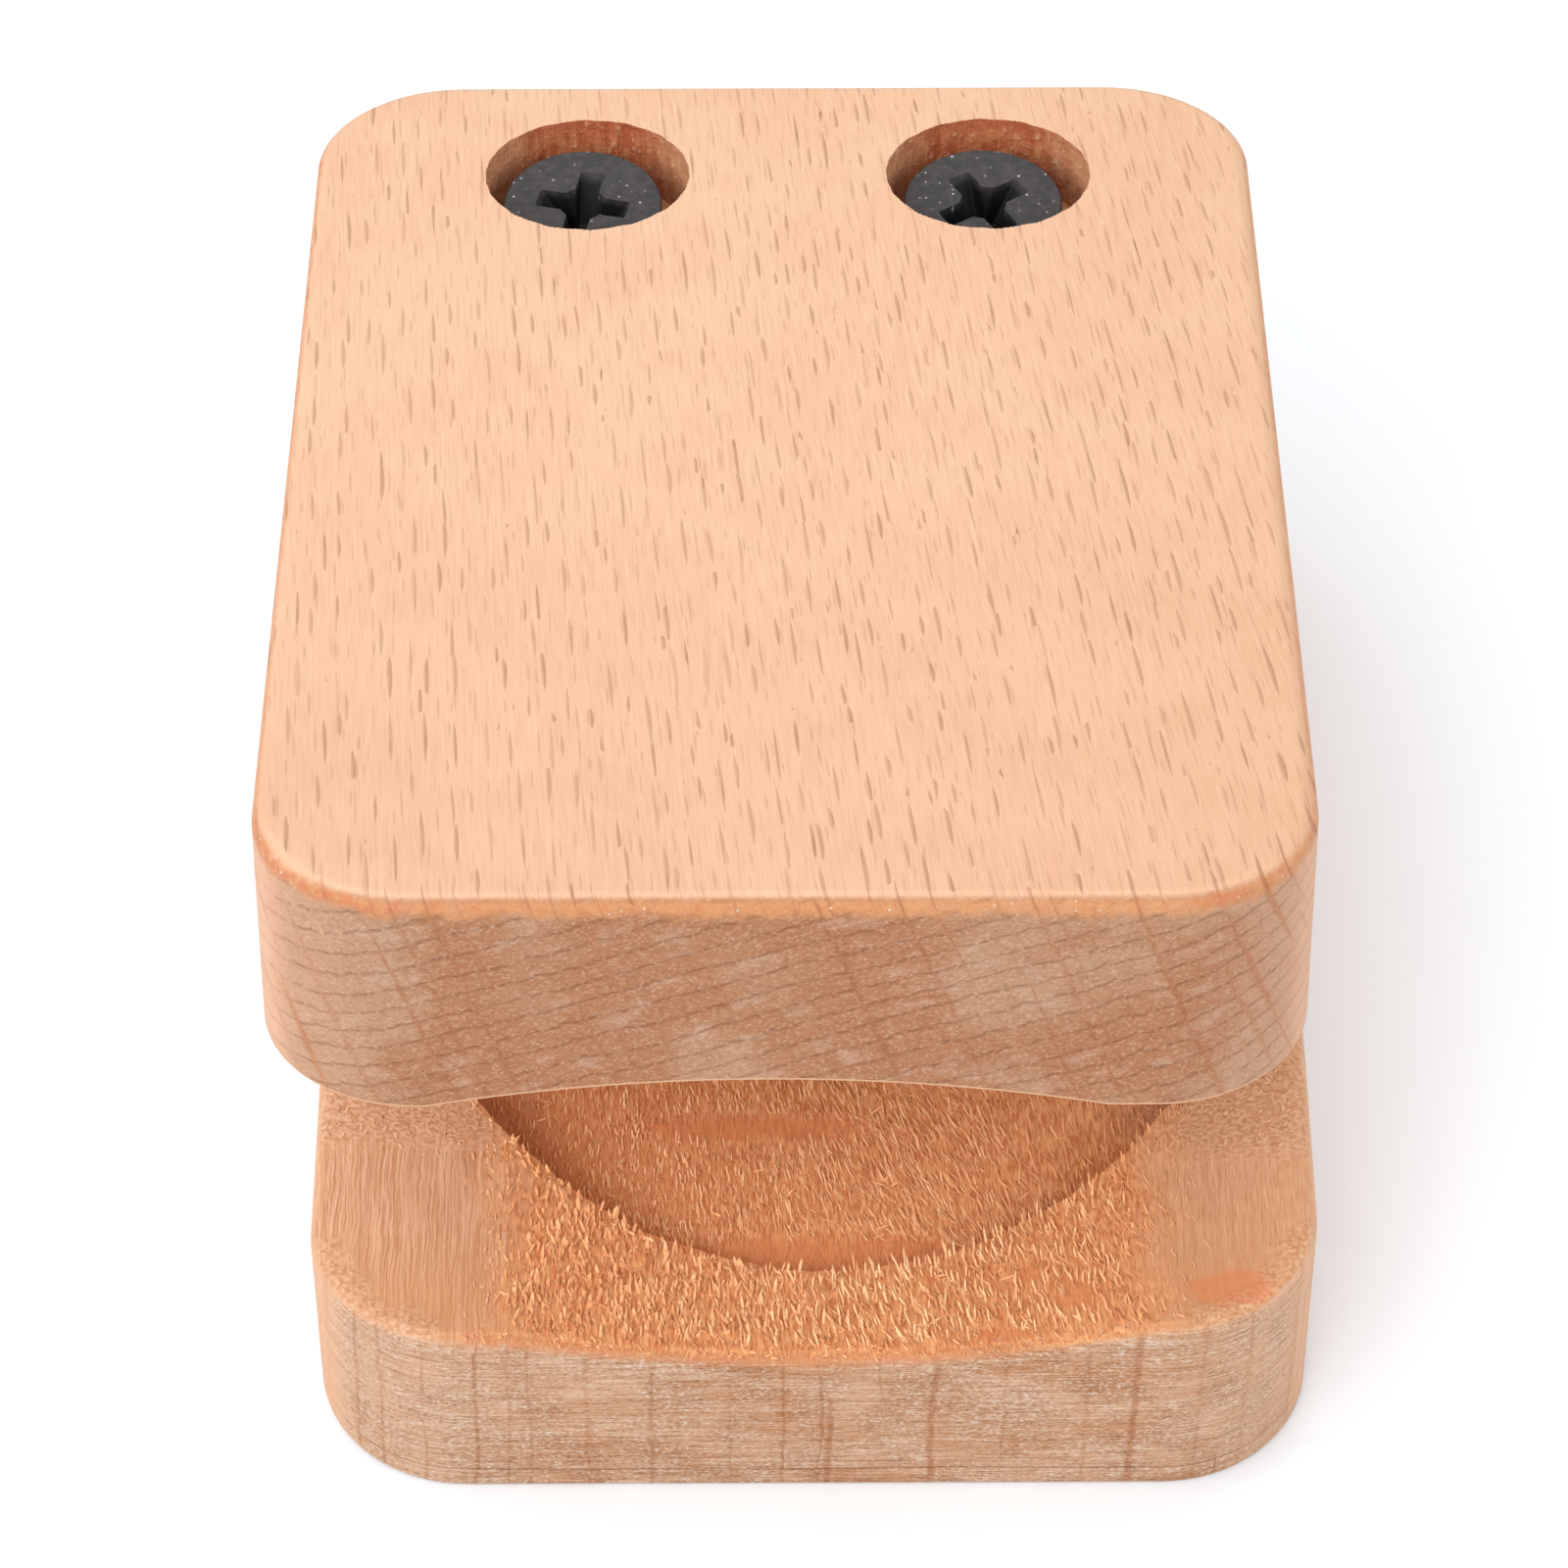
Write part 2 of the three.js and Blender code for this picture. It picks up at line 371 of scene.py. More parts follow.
def board_blank(name, edge_round):
    """A board with round corners and a soft outer edge, with spare wood on its inner face."""
    height = THICKNESS + SPARE_WOOD
    bpy.ops.mesh.primitive_cube_add(size=1, location=(0, 0, height / 2), scale=(WIDTH, LENGTH, height))
    board = new_piece(name)
    verts = board.data.vertices

    def upright(edge):
        first, second = (verts[index].co.z for index in edge.vertices)
        return abs(first - second) > THICKNESS

    pick(board, "edges", upright)
    shape(bpy.ops.mesh.bevel, offset=CORNER_RADIUS, segments=CORNER_SEGMENTS, affect="EDGES")
    pick_edges(board, lambda point: point.z < edge_round / 2)
    shape(bpy.ops.mesh.bevel, offset=edge_round, segments=EDGE_SEGMENTS, affect="EDGES")
    return board


def hollow(board, lean, scoop_depth, lip_round):
    """Planes the inner face, mills the round recess and the scooped mouth, and softens the lips."""
    top = 2 * THICKNESS
    floor_height = THICKNESS - RECESS_DEPTH
    plane = box_cutter(Vector((-WIDTH, -LENGTH, THICKNESS)), Vector((WIDTH, LENGTH, top)))
    recess = round_cutter(RECESS_RADIUS, RECESS_X, RECESS_Y, floor_height, top, RECESS_SIDES, RIM_FRAY)
    for cutter in (plane, recess, scoop_cutter(scoop_depth)):
        cutter.data.transform(lean)
        cut(board, cutter)
    pick_all(board, "polygons")
    shape(bpy.ops.mesh.dissolve_limited, angle_limit=FLAT_ANGLE)
    verts = board.data.vertices

    def on_lip(edge):
        ends = [verts[index].co for index in edge.vertices]
        spots = ends + [(ends[0] + ends[1]) / 2]
        return all(abs(from_outline(spot)) < ON_OUTLINE and spot.z > THICKNESS / 2 for spot in spots)

    pick(board, "edges", on_lip)
    shape(bpy.ops.mesh.bevel, offset=lip_round, segments=EDGE_SEGMENTS, affect="EDGES")


def lower_board():
    """The board that lies flat, with two pilot holes for the screws."""
    board = board_blank("lower_block", LOWER_EDGE_ROUND)
    hollow(board, LOWER_LEAN, LOWER_SCOOP_DEPTH, LOWER_LIP_ROUND)
    for x in SCREW_X:
        pilot = round_cutter(PILOT_RADIUS, x + HINGE.x, HINGE.y, SCREW_LOW.z, 2 * THICKNESS, BORE_SIDES)
        cut(board, pilot)
    smooth(board)
    return board


def upper_board():
    """The board that is struck, with two counterbored holes, turned over and leaned back."""
    board = board_blank("upper_block", UPPER_EDGE_ROUND)
    hollow(board, Matrix.Identity(4), UPPER_SCOOP_DEPTH, UPPER_LIP_ROUND)
    for x in SCREW_X:
        hole_x = x - BORE_SET
        cut(board, round_cutter(HOLE_RADIUS, hole_x, HOLE_Y, -THICKNESS, 2 * THICKNESS, BORE_SIDES))
        bore = round_cutter(
            COUNTERBORE_RADIUS,
            hole_x,
            HOLE_Y,
            bottom=-THICKNESS,
            top=COUNTERBORE_DEPTH,
            sides=COUNTERBORE_SIDES,
            frayed=BORE_FRAY,
        )
        cut(board, bore)
    smooth(board)
    board.data.transform(UPPER_PLACE)
    return board


# Torn fibres that stand up where the hollows were milled

def fibre_shape():
    """One torn fibre along +Y, one unit long: a three-sided strand that bends up to a short point."""
    bpy.ops.mesh.primitive_cone_add(
        vertices=3, radius1=0.5, radius2=0, depth=1, location=(0, 0.5, 0), rotation=(-math.pi / 2, 0, 0)
    )
    fibre = new_piece("fibre")
    bend = Vector((0, FIBRE_BEND, 0))
    near = 0.01
    pick_all(fibre, "polygons")
    shape(bpy.ops.mesh.bisect, plane_co=bend, plane_no=(0, 1, 0))
    pick(fibre, "vertices", lambda vert: abs(vert.co.y - bend.y) < near)
    shape(bpy.ops.transform.resize, value=(FIBRE_SWELL, 1, FIBRE_SWELL), center_override=bend)
    pick(fibre, "vertices", lambda vert: vert.co.y > bend.y + near)
    shape(bpy.ops.transform.translate, value=FIBRE_TIP)
    return fibre


class FibreGrowth:
    """Torn fibres set on a board's inner face, gathered into one mesh."""

    def __init__(self, board, place, fibre, seed):
        self.board = board
        self.place = place
        self.back = place.inverted()
        self.corners = [vert.co.copy() for vert in fibre.data.vertices]
        self.sides = [tuple(face.vertices) for face in fibre.data.polygons]
        self.draw = random.Random(seed)
        self.verts = []
        self.faces = []
        self.tones = []

    def ground(self, x, y):
        """The wood straight under a point of the inner face, with its normal, both in the board's frame."""
        start = self.place @ Vector((x, y, 2 * THICKNESS))
        down = self.place.to_3x3() @ Vector((0, 0, -1))
        hit, point, normal, _ = self.board.ray_cast(start, down)
        if not hit:
            return None, None
        return self.back @ point, self.back.to_3x3() @ normal

    def set_fibre(self, root, direction, length, width, dull=0.0):
        """One fibre, its root sunk a little into the wood, with painted shade darkening it towards the root
        so that its tip is the palest.

        Its tone runs from 0, orange, to 1, pale; a dull one goes below 0, to the brown of the strips.
        """
        direction = direction.normalized()
        turn = direction.to_track_quat("Y", "Z").to_matrix().to_4x4()
        roll = Matrix.Rotation(self.draw.uniform(-FIBRE_ROLL, FIBRE_ROLL), 4, "Y")
        thick = width * self.draw.uniform(0.4, 0.8)
        size = Matrix.Diagonal((width, length, thick, 1))
        sunk = root - direction * ROOT_SUNK * length
        stamp = self.place @ Matrix.Translation(sunk) @ turn @ roll @ size
        tuft = 0.5 + 0.5 * noise.noise(root / TUFT_SIZE)
        darker = 1 - RIGHT_DARKER * ramp(root.x, 5 * MM, 14 * MM)
        tone = (0.6 * self.draw.random() + 0.4 * tuft) * darker
        first = len(self.verts)
        self.verts += [stamp @ corner for corner in self.corners]
        self.faces += [[first + index for index in side] for side in self.sides]
        # Painted shade: the tone falls towards the root of each fibre
        self.tones += [tone * (0.3 + 0.7 * corner.y) * (1 - dull) - dull for corner in self.corners]

    def gathered(self, name):
        """All fibres as one piece, with their tones as an attribute."""
        data = bpy.data.meshes.new(name)
        data.from_pydata(self.verts, [], self.faces)
        data.attributes.new("tone", "FLOAT", "POINT").data.foreach_set("value", self.tones)
        return linked_piece(name, data)


def from_rim(x, y):
    """Distance of a point outside the recess, seen from above; negative inside it."""
    return math.hypot(x - RECESS_X, y - RECESS_Y) - RECESS_RADIUS


def rubbed(x, y):
    """Whether a point lies on a rubbed spot or close beside it."""

    def on_spot(middle_x, middle_y, half_x, half_y):
        right = (x / MM - middle_x) / (half_x + RUBBED_MARGIN)
        back = (y / MM - middle_y) / (half_y + RUBBED_MARGIN)
        return right ** 2 + back ** 2 < 1

    return any(on_spot(*spot) for spot in RUBBED)


def fibre_share(x, y):
    """How thickly torn fibres stand at a point of the inner face, from 0 to 1."""
    if rubbed(x, y):
        return 0
    outside = from_rim(x, y)
    stray = FUZZ_STRAY * noise.noise(Vector((x, y, 0)) / FUZZ_STRAY)
    in_scoop = ramp(abs(x - RECESS_X) + stray, FUZZ_OUTER, FUZZ_INNER) if y < RECESS_Y else 0
    in_recess = ramp(outside, 0, -RIM_FADE)
    share = max(in_scoop, in_recess)
    if outside < 0:
        share *= 1 - BALDNESS * bell(x, BALD_X, BALD_WIDTH) * bell(y, BALD_Y, BALD_LENGTH)
    if outside < 0 and x < THIN_LEFT_OF:
        share *= THIN_LEFT
    if y > THIN_BEHIND:
        share *= THIN_REAR
    return share


def grow_fibres(board, place, fibre, tries, seed, front_gap):
    """Fibres over the whole hollow, short at its sides, and a torn recess rim; sizes are in mm."""
    growth = FibreGrowth(board, place, fibre, seed)
    draw = growth.draw
    for _ in range(tries):
        x = draw.uniform(-WIDTH / 2, WIDTH / 2)
        y = draw.uniform(-LENGTH / 2 + front_gap, RECESS_Y + RECESS_RADIUS)
        share = fibre_share(x, y)
        if draw.random() > share ** 0.6:
            continue
        root, normal = growth.ground(x, y)
        if root is None or normal.z < LEVEL:
            continue
        right = ramp(x, -10 * MM, 6 * MM)
        if from_rim(x, y) < 0:
            lean = draw.gauss(0.05 + 0.42 * bell(x, 7 * MM, 9 * MM), 0.14)
            rise = draw.uniform(0.1, 0.5)
            length = draw.uniform(0.4, 0.75 + 0.65 * right)
            width = draw.uniform(0.08, 0.14)
            dull = 0.0
        else:
            lean = draw.gauss(0.08 + 0.2 * right, 0.25)
            rise = draw.uniform(0.15, 0.5 + 0.3 * right) * share
            length = draw.uniform(0.45, 1.0 + 0.2 * right) * (0.55 + 0.45 * share)
            width = draw.uniform(0.12, 0.30 - 0.14 * right)
            dull = max(1 - share, LEFT_DULL * (1 - right)) - SCOOP_PALER
        if draw.random() < STRAY_SHARE:
            lean = draw.gauss(0, 1.5)
        towards = -1 if draw.random() < FORWARD_SHARE else 1
        growth.set_fibre(root, Vector((-lean * towards, towards, rise)), length * MM, width * MM, dull)
    fray_rim(growth)
    return growth


def fray_rim(growth):
    """Short fibres that hang over the recess rim, with a few larger chips on its left."""
    draw = growth.draw
    for _ in range(RIM_FIBRES):
        angle = draw.uniform(0, 2 * math.pi)
        out = Vector((math.cos(angle), math.sin(angle), 0))
        spot = Vector((RECESS_X, RECESS_Y, 0)) + out * (RECESS_RADIUS + draw.uniform(0.1, 0.7) * MM)
        root, normal = growth.ground(spot.x, spot.y)
        if root is None or normal.z < LEVEL or (out.x < -0.3 and draw.random() < 0.6):
            continue
        lean = Vector((draw.gauss(0.25, 0.25), -1 if draw.random() < 0.7 else 1, draw.uniform(0.1, 0.4)))
        chip = 1.5 if out.x < -0.2 and out.y < 0 and draw.random() < 0.2 else 1.0
        length = chip * draw.uniform(0.35, 0.8) * MM
        width = chip * draw.uniform(0.10, 0.20) * MM
        growth.set_fibre(root, lean - out * 0.5, length, width)


def strew_crumbs(growth):
    """Small torn flakes on the rough band behind the two flat strips."""
    draw = growth.draw
    reach = WIDTH / 2 - 1.0 * MM
    for _ in range(CRUMBS):
        x = draw.uniform(-reach, reach)
        y = draw.uniform(-28, -8) * MM - BAND_SLANT * x
        root, normal = growth.ground(x, y)
        if from_rim(x, y) <= 0.5 * MM or root is None or normal.z < LEVEL:
            continue
        if draw.random() > ramp(y, -28.5 * MM, -25 * MM):
            continue
        direction = Vector((draw.gauss(0, 0.8), draw.choice((-1, 1)), draw.uniform(0.05, 0.5)))
        length = draw.uniform(0.2, 0.5) * MM
        width = draw.uniform(0.08, 0.20) * MM
        growth.set_fibre(root, direction, length, width, dull=draw.uniform(0.8, 1.0))


def fray_mouth(growth):
    """A rough fringe along the front lip, with a few longer curls, duller on the right."""
    draw = growth.draw
    reach = WIDTH / 2 - CORNER_RADIUS
    for _ in range(MOUTH_FIBRES):
        x = draw.uniform(-reach, reach)
        y = -LENGTH / 2 + draw.uniform(0.3, 1.0) * MM
        root, _ = growth.ground(x, y)
        if root is None:
            continue
        direction = Vector((draw.gauss(0.2, 0.6), -draw.uniform(0.2, 1), draw.uniform(0.0, 0.3)))
        curl = 2.2 if draw.random() < 0.06 else 1.0
        length = curl * draw.uniform(0.25, 0.5) * MM
        width = draw.uniform(0.08, 0.16) * MM
        growth.set_fibre(root, direction, length, width, dull=0.9 * ramp(x, 5 * MM, 10 * MM))


# Screws

def tapered_bar(turn, top):
    """Cutter for two opposite arms of the cross recess, narrower at its floor."""
    bpy.ops.mesh.primitive_cube_add(
        size=1,
        location=(0, 0, top - CROSS_DEPTH / 2 + HEAD_RIM / 2),
        scale=(CROSS_SPAN, CROSS_ARM, CROSS_DEPTH + HEAD_RIM),
    )
    bar = new_piece("cutter")
    pick(bar, "polygons", lambda face: face.normal.z < -0.5)
    bottom = Vector((0, 0, top - CROSS_DEPTH))
    taper = (CROSS_FLOOR / CROSS_SPAN, CROSS_ARM_TAPER, 1)
    shape(bpy.ops.transform.resize, value=taper, center_override=bottom)
    pick_all(bar, "edges")
    shape(bpy.ops.mesh.bevel, offset=CROSS_SOFTENING, segments=2, affect="EDGES")
    bar.data.transform(Matrix.Rotation(turn, 4, "Z"))
    return bar


def flare_cutter(turn, top):
    """Cutter for the sloping flats in the inner corners of the cross recess."""
    bpy.ops.mesh.primitive_cone_add(
        vertices=4,
        radius1=FLARE_FLOOR,
        radius2=FLARE_MOUTH,
        depth=CROSS_DEPTH,
        location=(0, 0, top - FLARE_SUNK),
    )
    flare = new_piece("cutter")
    flare.data.transform(Matrix.Rotation(turn, 4, "Z"))
    return flare


def thread_ridge(bottom, top):
    """A sharp ridge wound round the shank, running out on the point."""
    data = bpy.data.meshes.new("thread")
    inner = SHANK_RADIUS - THREAD_SUNK
    corners = [(inner, 0, -THREAD_HALF), (SHANK_RADIUS + THREAD_HEIGHT, 0, 0), (inner, 0, THREAD_HALF)]
    data.from_pydata(corners, [(0, 1), (1, 2), (2, 0)], [])
    ridge = linked_piece("thread", data)
    modify(
        ridge,
        "SCREW",
        axis="Z",
        angle=2 * math.pi,
        screw_offset=THREAD_PITCH,
        iterations=round((top - bottom) / THREAD_PITCH),
        steps=THREAD_STEPS,
        render_steps=THREAD_STEPS,
    )
    pick_all(ridge, "vertices")
    shape(bpy.ops.mesh.remove_doubles, threshold=MERGE)
    shape(bpy.ops.mesh.fill_holes, sides=4)
    shape(bpy.ops.mesh.normals_make_consistent, inside=False)
    low = SHANK_RADIUS - THREAD_RUNOUT
    for vert in ridge.data.vertices:
        fade = ramp(vert.co.z, -THREAD_PITCH / 2, THREAD_PITCH)
        out = Vector((vert.co.x, vert.co.y, 0))
        if out.length > low:
            vert.co += out.normalized() * (low - out.length) * (1 - fade)
        vert.co.z += bottom
    return ridge


def wood_screw(name, node, turn):
    """A countersunk wood screw, drawn out from the shank, with its cross recess and thread."""
    low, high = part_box(node)
    rise = HEAD_RADIUS - SHANK_RADIUS
    neck = high.z - HEAD_RIM - rise
    shank_bottom = low.z + POINT_LENGTH
    bpy.ops.mesh.primitive_cylinder_add(
        vertices=SCREW_SIDES,
        radius=SHANK_RADIUS,
        depth=neck - shank_bottom,
        location=(0, 0, (neck + shank_bottom) / 2),
    )
    screw = new_piece(name)
    pick(screw, "polygons", lambda face: face.normal.z < -0.9)
    raise_faces(-POINT_LENGTH)
    point = (POINT_SHARE, POINT_SHARE, 1)
    shape(bpy.ops.transform.resize, value=point, center_override=Vector((0, 0, low.z)))
    pick(screw, "polygons", lambda face: face.normal.z > 0.9)
    raise_faces(rise)
    flare = HEAD_RADIUS / SHANK_RADIUS
    shape(bpy.ops.transform.resize, value=(flare, flare, 1), center_override=Vector((0, 0, neck + rise)))
    raise_faces(HEAD_RIM)
    pick_edges(screw, lambda point: point.z > high.z - HEAD_RIM / 2)
    shape(bpy.ops.mesh.bevel, offset=HEAD_SOFTENING, segments=3, affect="EDGES")
    for arm in (0, math.pi / 2):
        cut(screw, tapered_bar(turn + arm, high.z))
    cut(screw, flare_cutter(turn, high.z))
    join_solids(screw, thread_ridge(shank_bottom - THREAD_PITCH / 2, THICKNESS), "UNION")
    screw.data.transform(Matrix.Translation(((low.x + high.x) / 2, (low.y + high.y) / 2, 0)))
    smooth(screw)
    return screw


# Rubber wedge

def inner_height(x):
    """Height of the lower board's leaning inner face."""
    return LEAN_PIVOT.z + (x - LEAN_PIVOT.x) * math.tan(LEAN)


def underside_height(y):
    """Height of the upper board's underside."""
    return HINGE.z - WEB / math.cos(OPEN_ANGLE) - (y - HINGE.y) * math.tan(OPEN_ANGLE)


def rubber_wedge():
    """A block with round corners that fills the space between the boards, its sides bulging."""
    centre = (WEDGE_LOW + WEDGE_HIGH) / 2
    size = WEDGE_HIGH - WEDGE_LOW
    bpy.ops.mesh.primitive_plane_add(size=1, location=(0, 0, 0))
    wedge = new_piece("rubber_block")
    wedge.data.transform(Matrix.Diagonal((size.x, size.y, 1, 1)))
    pick_all(wedge, "vertices")
    shape(bpy.ops.mesh.bevel, offset=WEDGE_CORNER, segments=WEDGE_CORNER_SEGMENTS, affect="VERTICES")
    for ring in range(WEDGE_RINGS):
        below = (ring - 0.5) / WEDGE_RINGS
        pick(wedge, "polygons", lambda face: face.normal.z > 0.9 and face.center.z > below)
        raise_faces(1 / WEDGE_RINGS)
    for vert in wedge.data.vertices:
        share = vert.co.z
        out = Vector((vert.co.x, vert.co.y, 0))
        swell = 4 * share * (1 - share) * WEDGE_BULGE - WEDGE_TUCK * WEDGE_BULGE
        spot = out + out.normalized() * swell + Vector((centre.x, centre.y, 0))
        low = inner_height(spot.x) + WEDGE_NIP
        high = underside_height(spot.y) - WEDGE_NIP
        vert.co = Vector((spot.x, spot.y, low + share * (high - low)))
    pick_all(wedge, "polygons")
    shape(bpy.ops.mesh.normals_make_consistent, inside=False)
    for x in SCREW_X:
        hole = round_cutter(WEDGE_HOLE_RADIUS, x + HINGE.x, HINGE.y, 0, 3 * THICKNESS, WEDGE_HOLE_SIDES)
        cut(wedge, hole)
    smooth(wedge)
    return wedge


# Shader building

class Value:
    """A number that varies over a surface; arithmetic on it adds Math nodes."""

    def __init__(self, finish, socket):
        self.finish = finish
        self.socket = socket

    def math(self, operation, *terms):
        """One Math node on this value and any further terms."""
        return self.finish.math(operation, self, *terms)

    def __add__(self, term):
        return self.math("ADD", term)

    def __sub__(self, term):
        return self.math("SUBTRACT", term)

    def __mul__(self, term):
        return self.math("MULTIPLY", term)

    def __truediv__(self, term):
        return self.math("DIVIDE", term)

    def __rsub__(self, term):
        return self.finish.math("SUBTRACT", term, self)

    def __abs__(self):
        return self.math("ABSOLUTE")

    __radd__ = __add__
    __rmul__ = __mul__

    def smooth(self, low, high):
        """0 below low and 1 above high, with a soft step between; low above high turns it round."""
        inputs = {"Value": self, "From Min": low, "From Max": high}
        node = self.finish.node("ShaderNodeMapRange", {"interpolation_type": "SMOOTHSTEP"}, inputs)
        return Value(self.finish, node.outputs[0])


def from_axis(aside, back):
    """Distance from an upright axis, given how far beside and behind it a point lies."""
    return (aside * aside + back * back).math("SQRT")


class Finish:
    """A material being built: its nodes, and the shader that they feed."""

    def __init__(self, name, **constants):
        self.material = bpy.data.materials.new(name)
        self.material.use_nodes = True
        self.tree = self.material.node_tree
        self.shader = self.tree.nodes["Principled BSDF"]
        for socket, constant in constants.items():
            self.feed(self.shader.inputs[socket.replace("_", " ")], constant)

    def feed(self, socket, source):
        """Links a value or a socket to a socket, or sets a constant on it."""
        if isinstance(source, Value):
            source = source.socket
        if isinstance(source, bpy.types.NodeSocket):
            self.tree.links.new(source, socket)
        else:
            socket.default_value = source

    def node(self, kind, settings, inputs):
        """Any node: its settings first, then the values or links of its sockets."""
        node = self.tree.nodes.new(kind)
        for name, setting in settings.items():
            setattr(node, name, setting)
        for name, source in inputs.items():
            self.feed(node.inputs[name], source)
        return node

    def math(self, operation, *terms):
        """One Math node on values or numbers."""
        node = self.node("ShaderNodeMath", {"operation": operation}, dict(enumerate(terms)))
        return Value(self, node.outputs[0])

    def parts(self, vector):
        """The three numbers of a vector."""
        node = self.node("ShaderNodeSeparateXYZ", {}, {0: vector})
        return [Value(self, socket) for socket in node.outputs]

    def vector(self, x, y, z):
        """A vector of three numbers."""
        return self.node("ShaderNodeCombineXYZ", {}, {0: x, 1: y, 2: z}).outputs[0]

    def place_mm(self):
        """The place on the piece, in mm."""
        found = self.node("ShaderNodeTexCoord", {}, {})
        return [axis / MM for axis in self.parts(found.outputs["Object"])]

    def noise(self, x, y, z, detail=2.0, roughness=0.5):
        """Soft random hills, mostly between 0.2 and 0.8."""
        inputs = {"Vector": self.vector(x, y, z), "Scale": 1.0, "Detail": detail, "Roughness": roughness}
        return Value(self, self.node("ShaderNodeTexNoise", {}, inputs).outputs[0])

    def cells(self, x, y, z):
        """Offsets from the middle of the nearest cell, its distance, and three chance numbers of it."""
        vector = self.vector(x, y, z)
        node = self.node("ShaderNodeTexVoronoi", {}, {"Vector": vector, "Scale": 1.0, "Randomness": 0.85})
        middle = {0: vector, 1: node.outputs["Position"]}
        offset = self.node("ShaderNodeVectorMath", {"operation": "SUBTRACT"}, middle)
        chance = self.parts(node.outputs["Color"])
        return self.parts(offset.outputs[0]), Value(self, node.outputs["Distance"]), chance

    def blend(self, share, first, second, mode="MIX"):
        """A colour between two colours."""
        settings = {"data_type": "RGBA", "blend_type": mode}
        return self.node("ShaderNodeMix", settings, {0: share, 6: first, 7: second}).outputs[2]

    def tint(self, colour, share, tone):
        """A colour multiplied by a tone where share is 1."""
        return self.blend(share, colour, tone, "MULTIPLY")

    def bump(self, height_mm):
        """The normal of a surface with fine relief."""
        inputs = {"Strength": 1.0, "Distance": MM, "Height": height_mm}
        return self.node("ShaderNodeBump", {}, inputs).outputs[0]

    def surface(self, colour, roughness, height_mm):
        """The finished material."""
        self.feed(self.shader.inputs["Base Color"], colour)
        self.feed(self.shader.inputs["Roughness"], roughness)
        self.feed(self.shader.inputs["Normal"], self.bump(height_mm))
        return self.material


# How much light falls on level and upright faces, in the hollow, at its mouth and on the lip
LIGHT_LEVEL = 1.47
FRONT_LIGHT = 1.44
INNER_LIGHT = 0.95
MOUTH_LIGHT = 1.1
LIP_LIGHT = 1.2


def paint(red, green, blue, light=LIGHT_LEVEL):
    """The colour of a surface that shows on a screen as given, 0 to 255, under that much light."""

    def linear(level):
        share = level / 255
        return (share / 12.92 if share <= 0.04045 else ((share + 0.055) / 1.055) ** 2.4) / light

    return linear(red), linear(green), linear(blue), 1.0


# Beech: fibres along the board, year rings nearly flat, and rays that cross them

RAY_DEPTH = 30.0


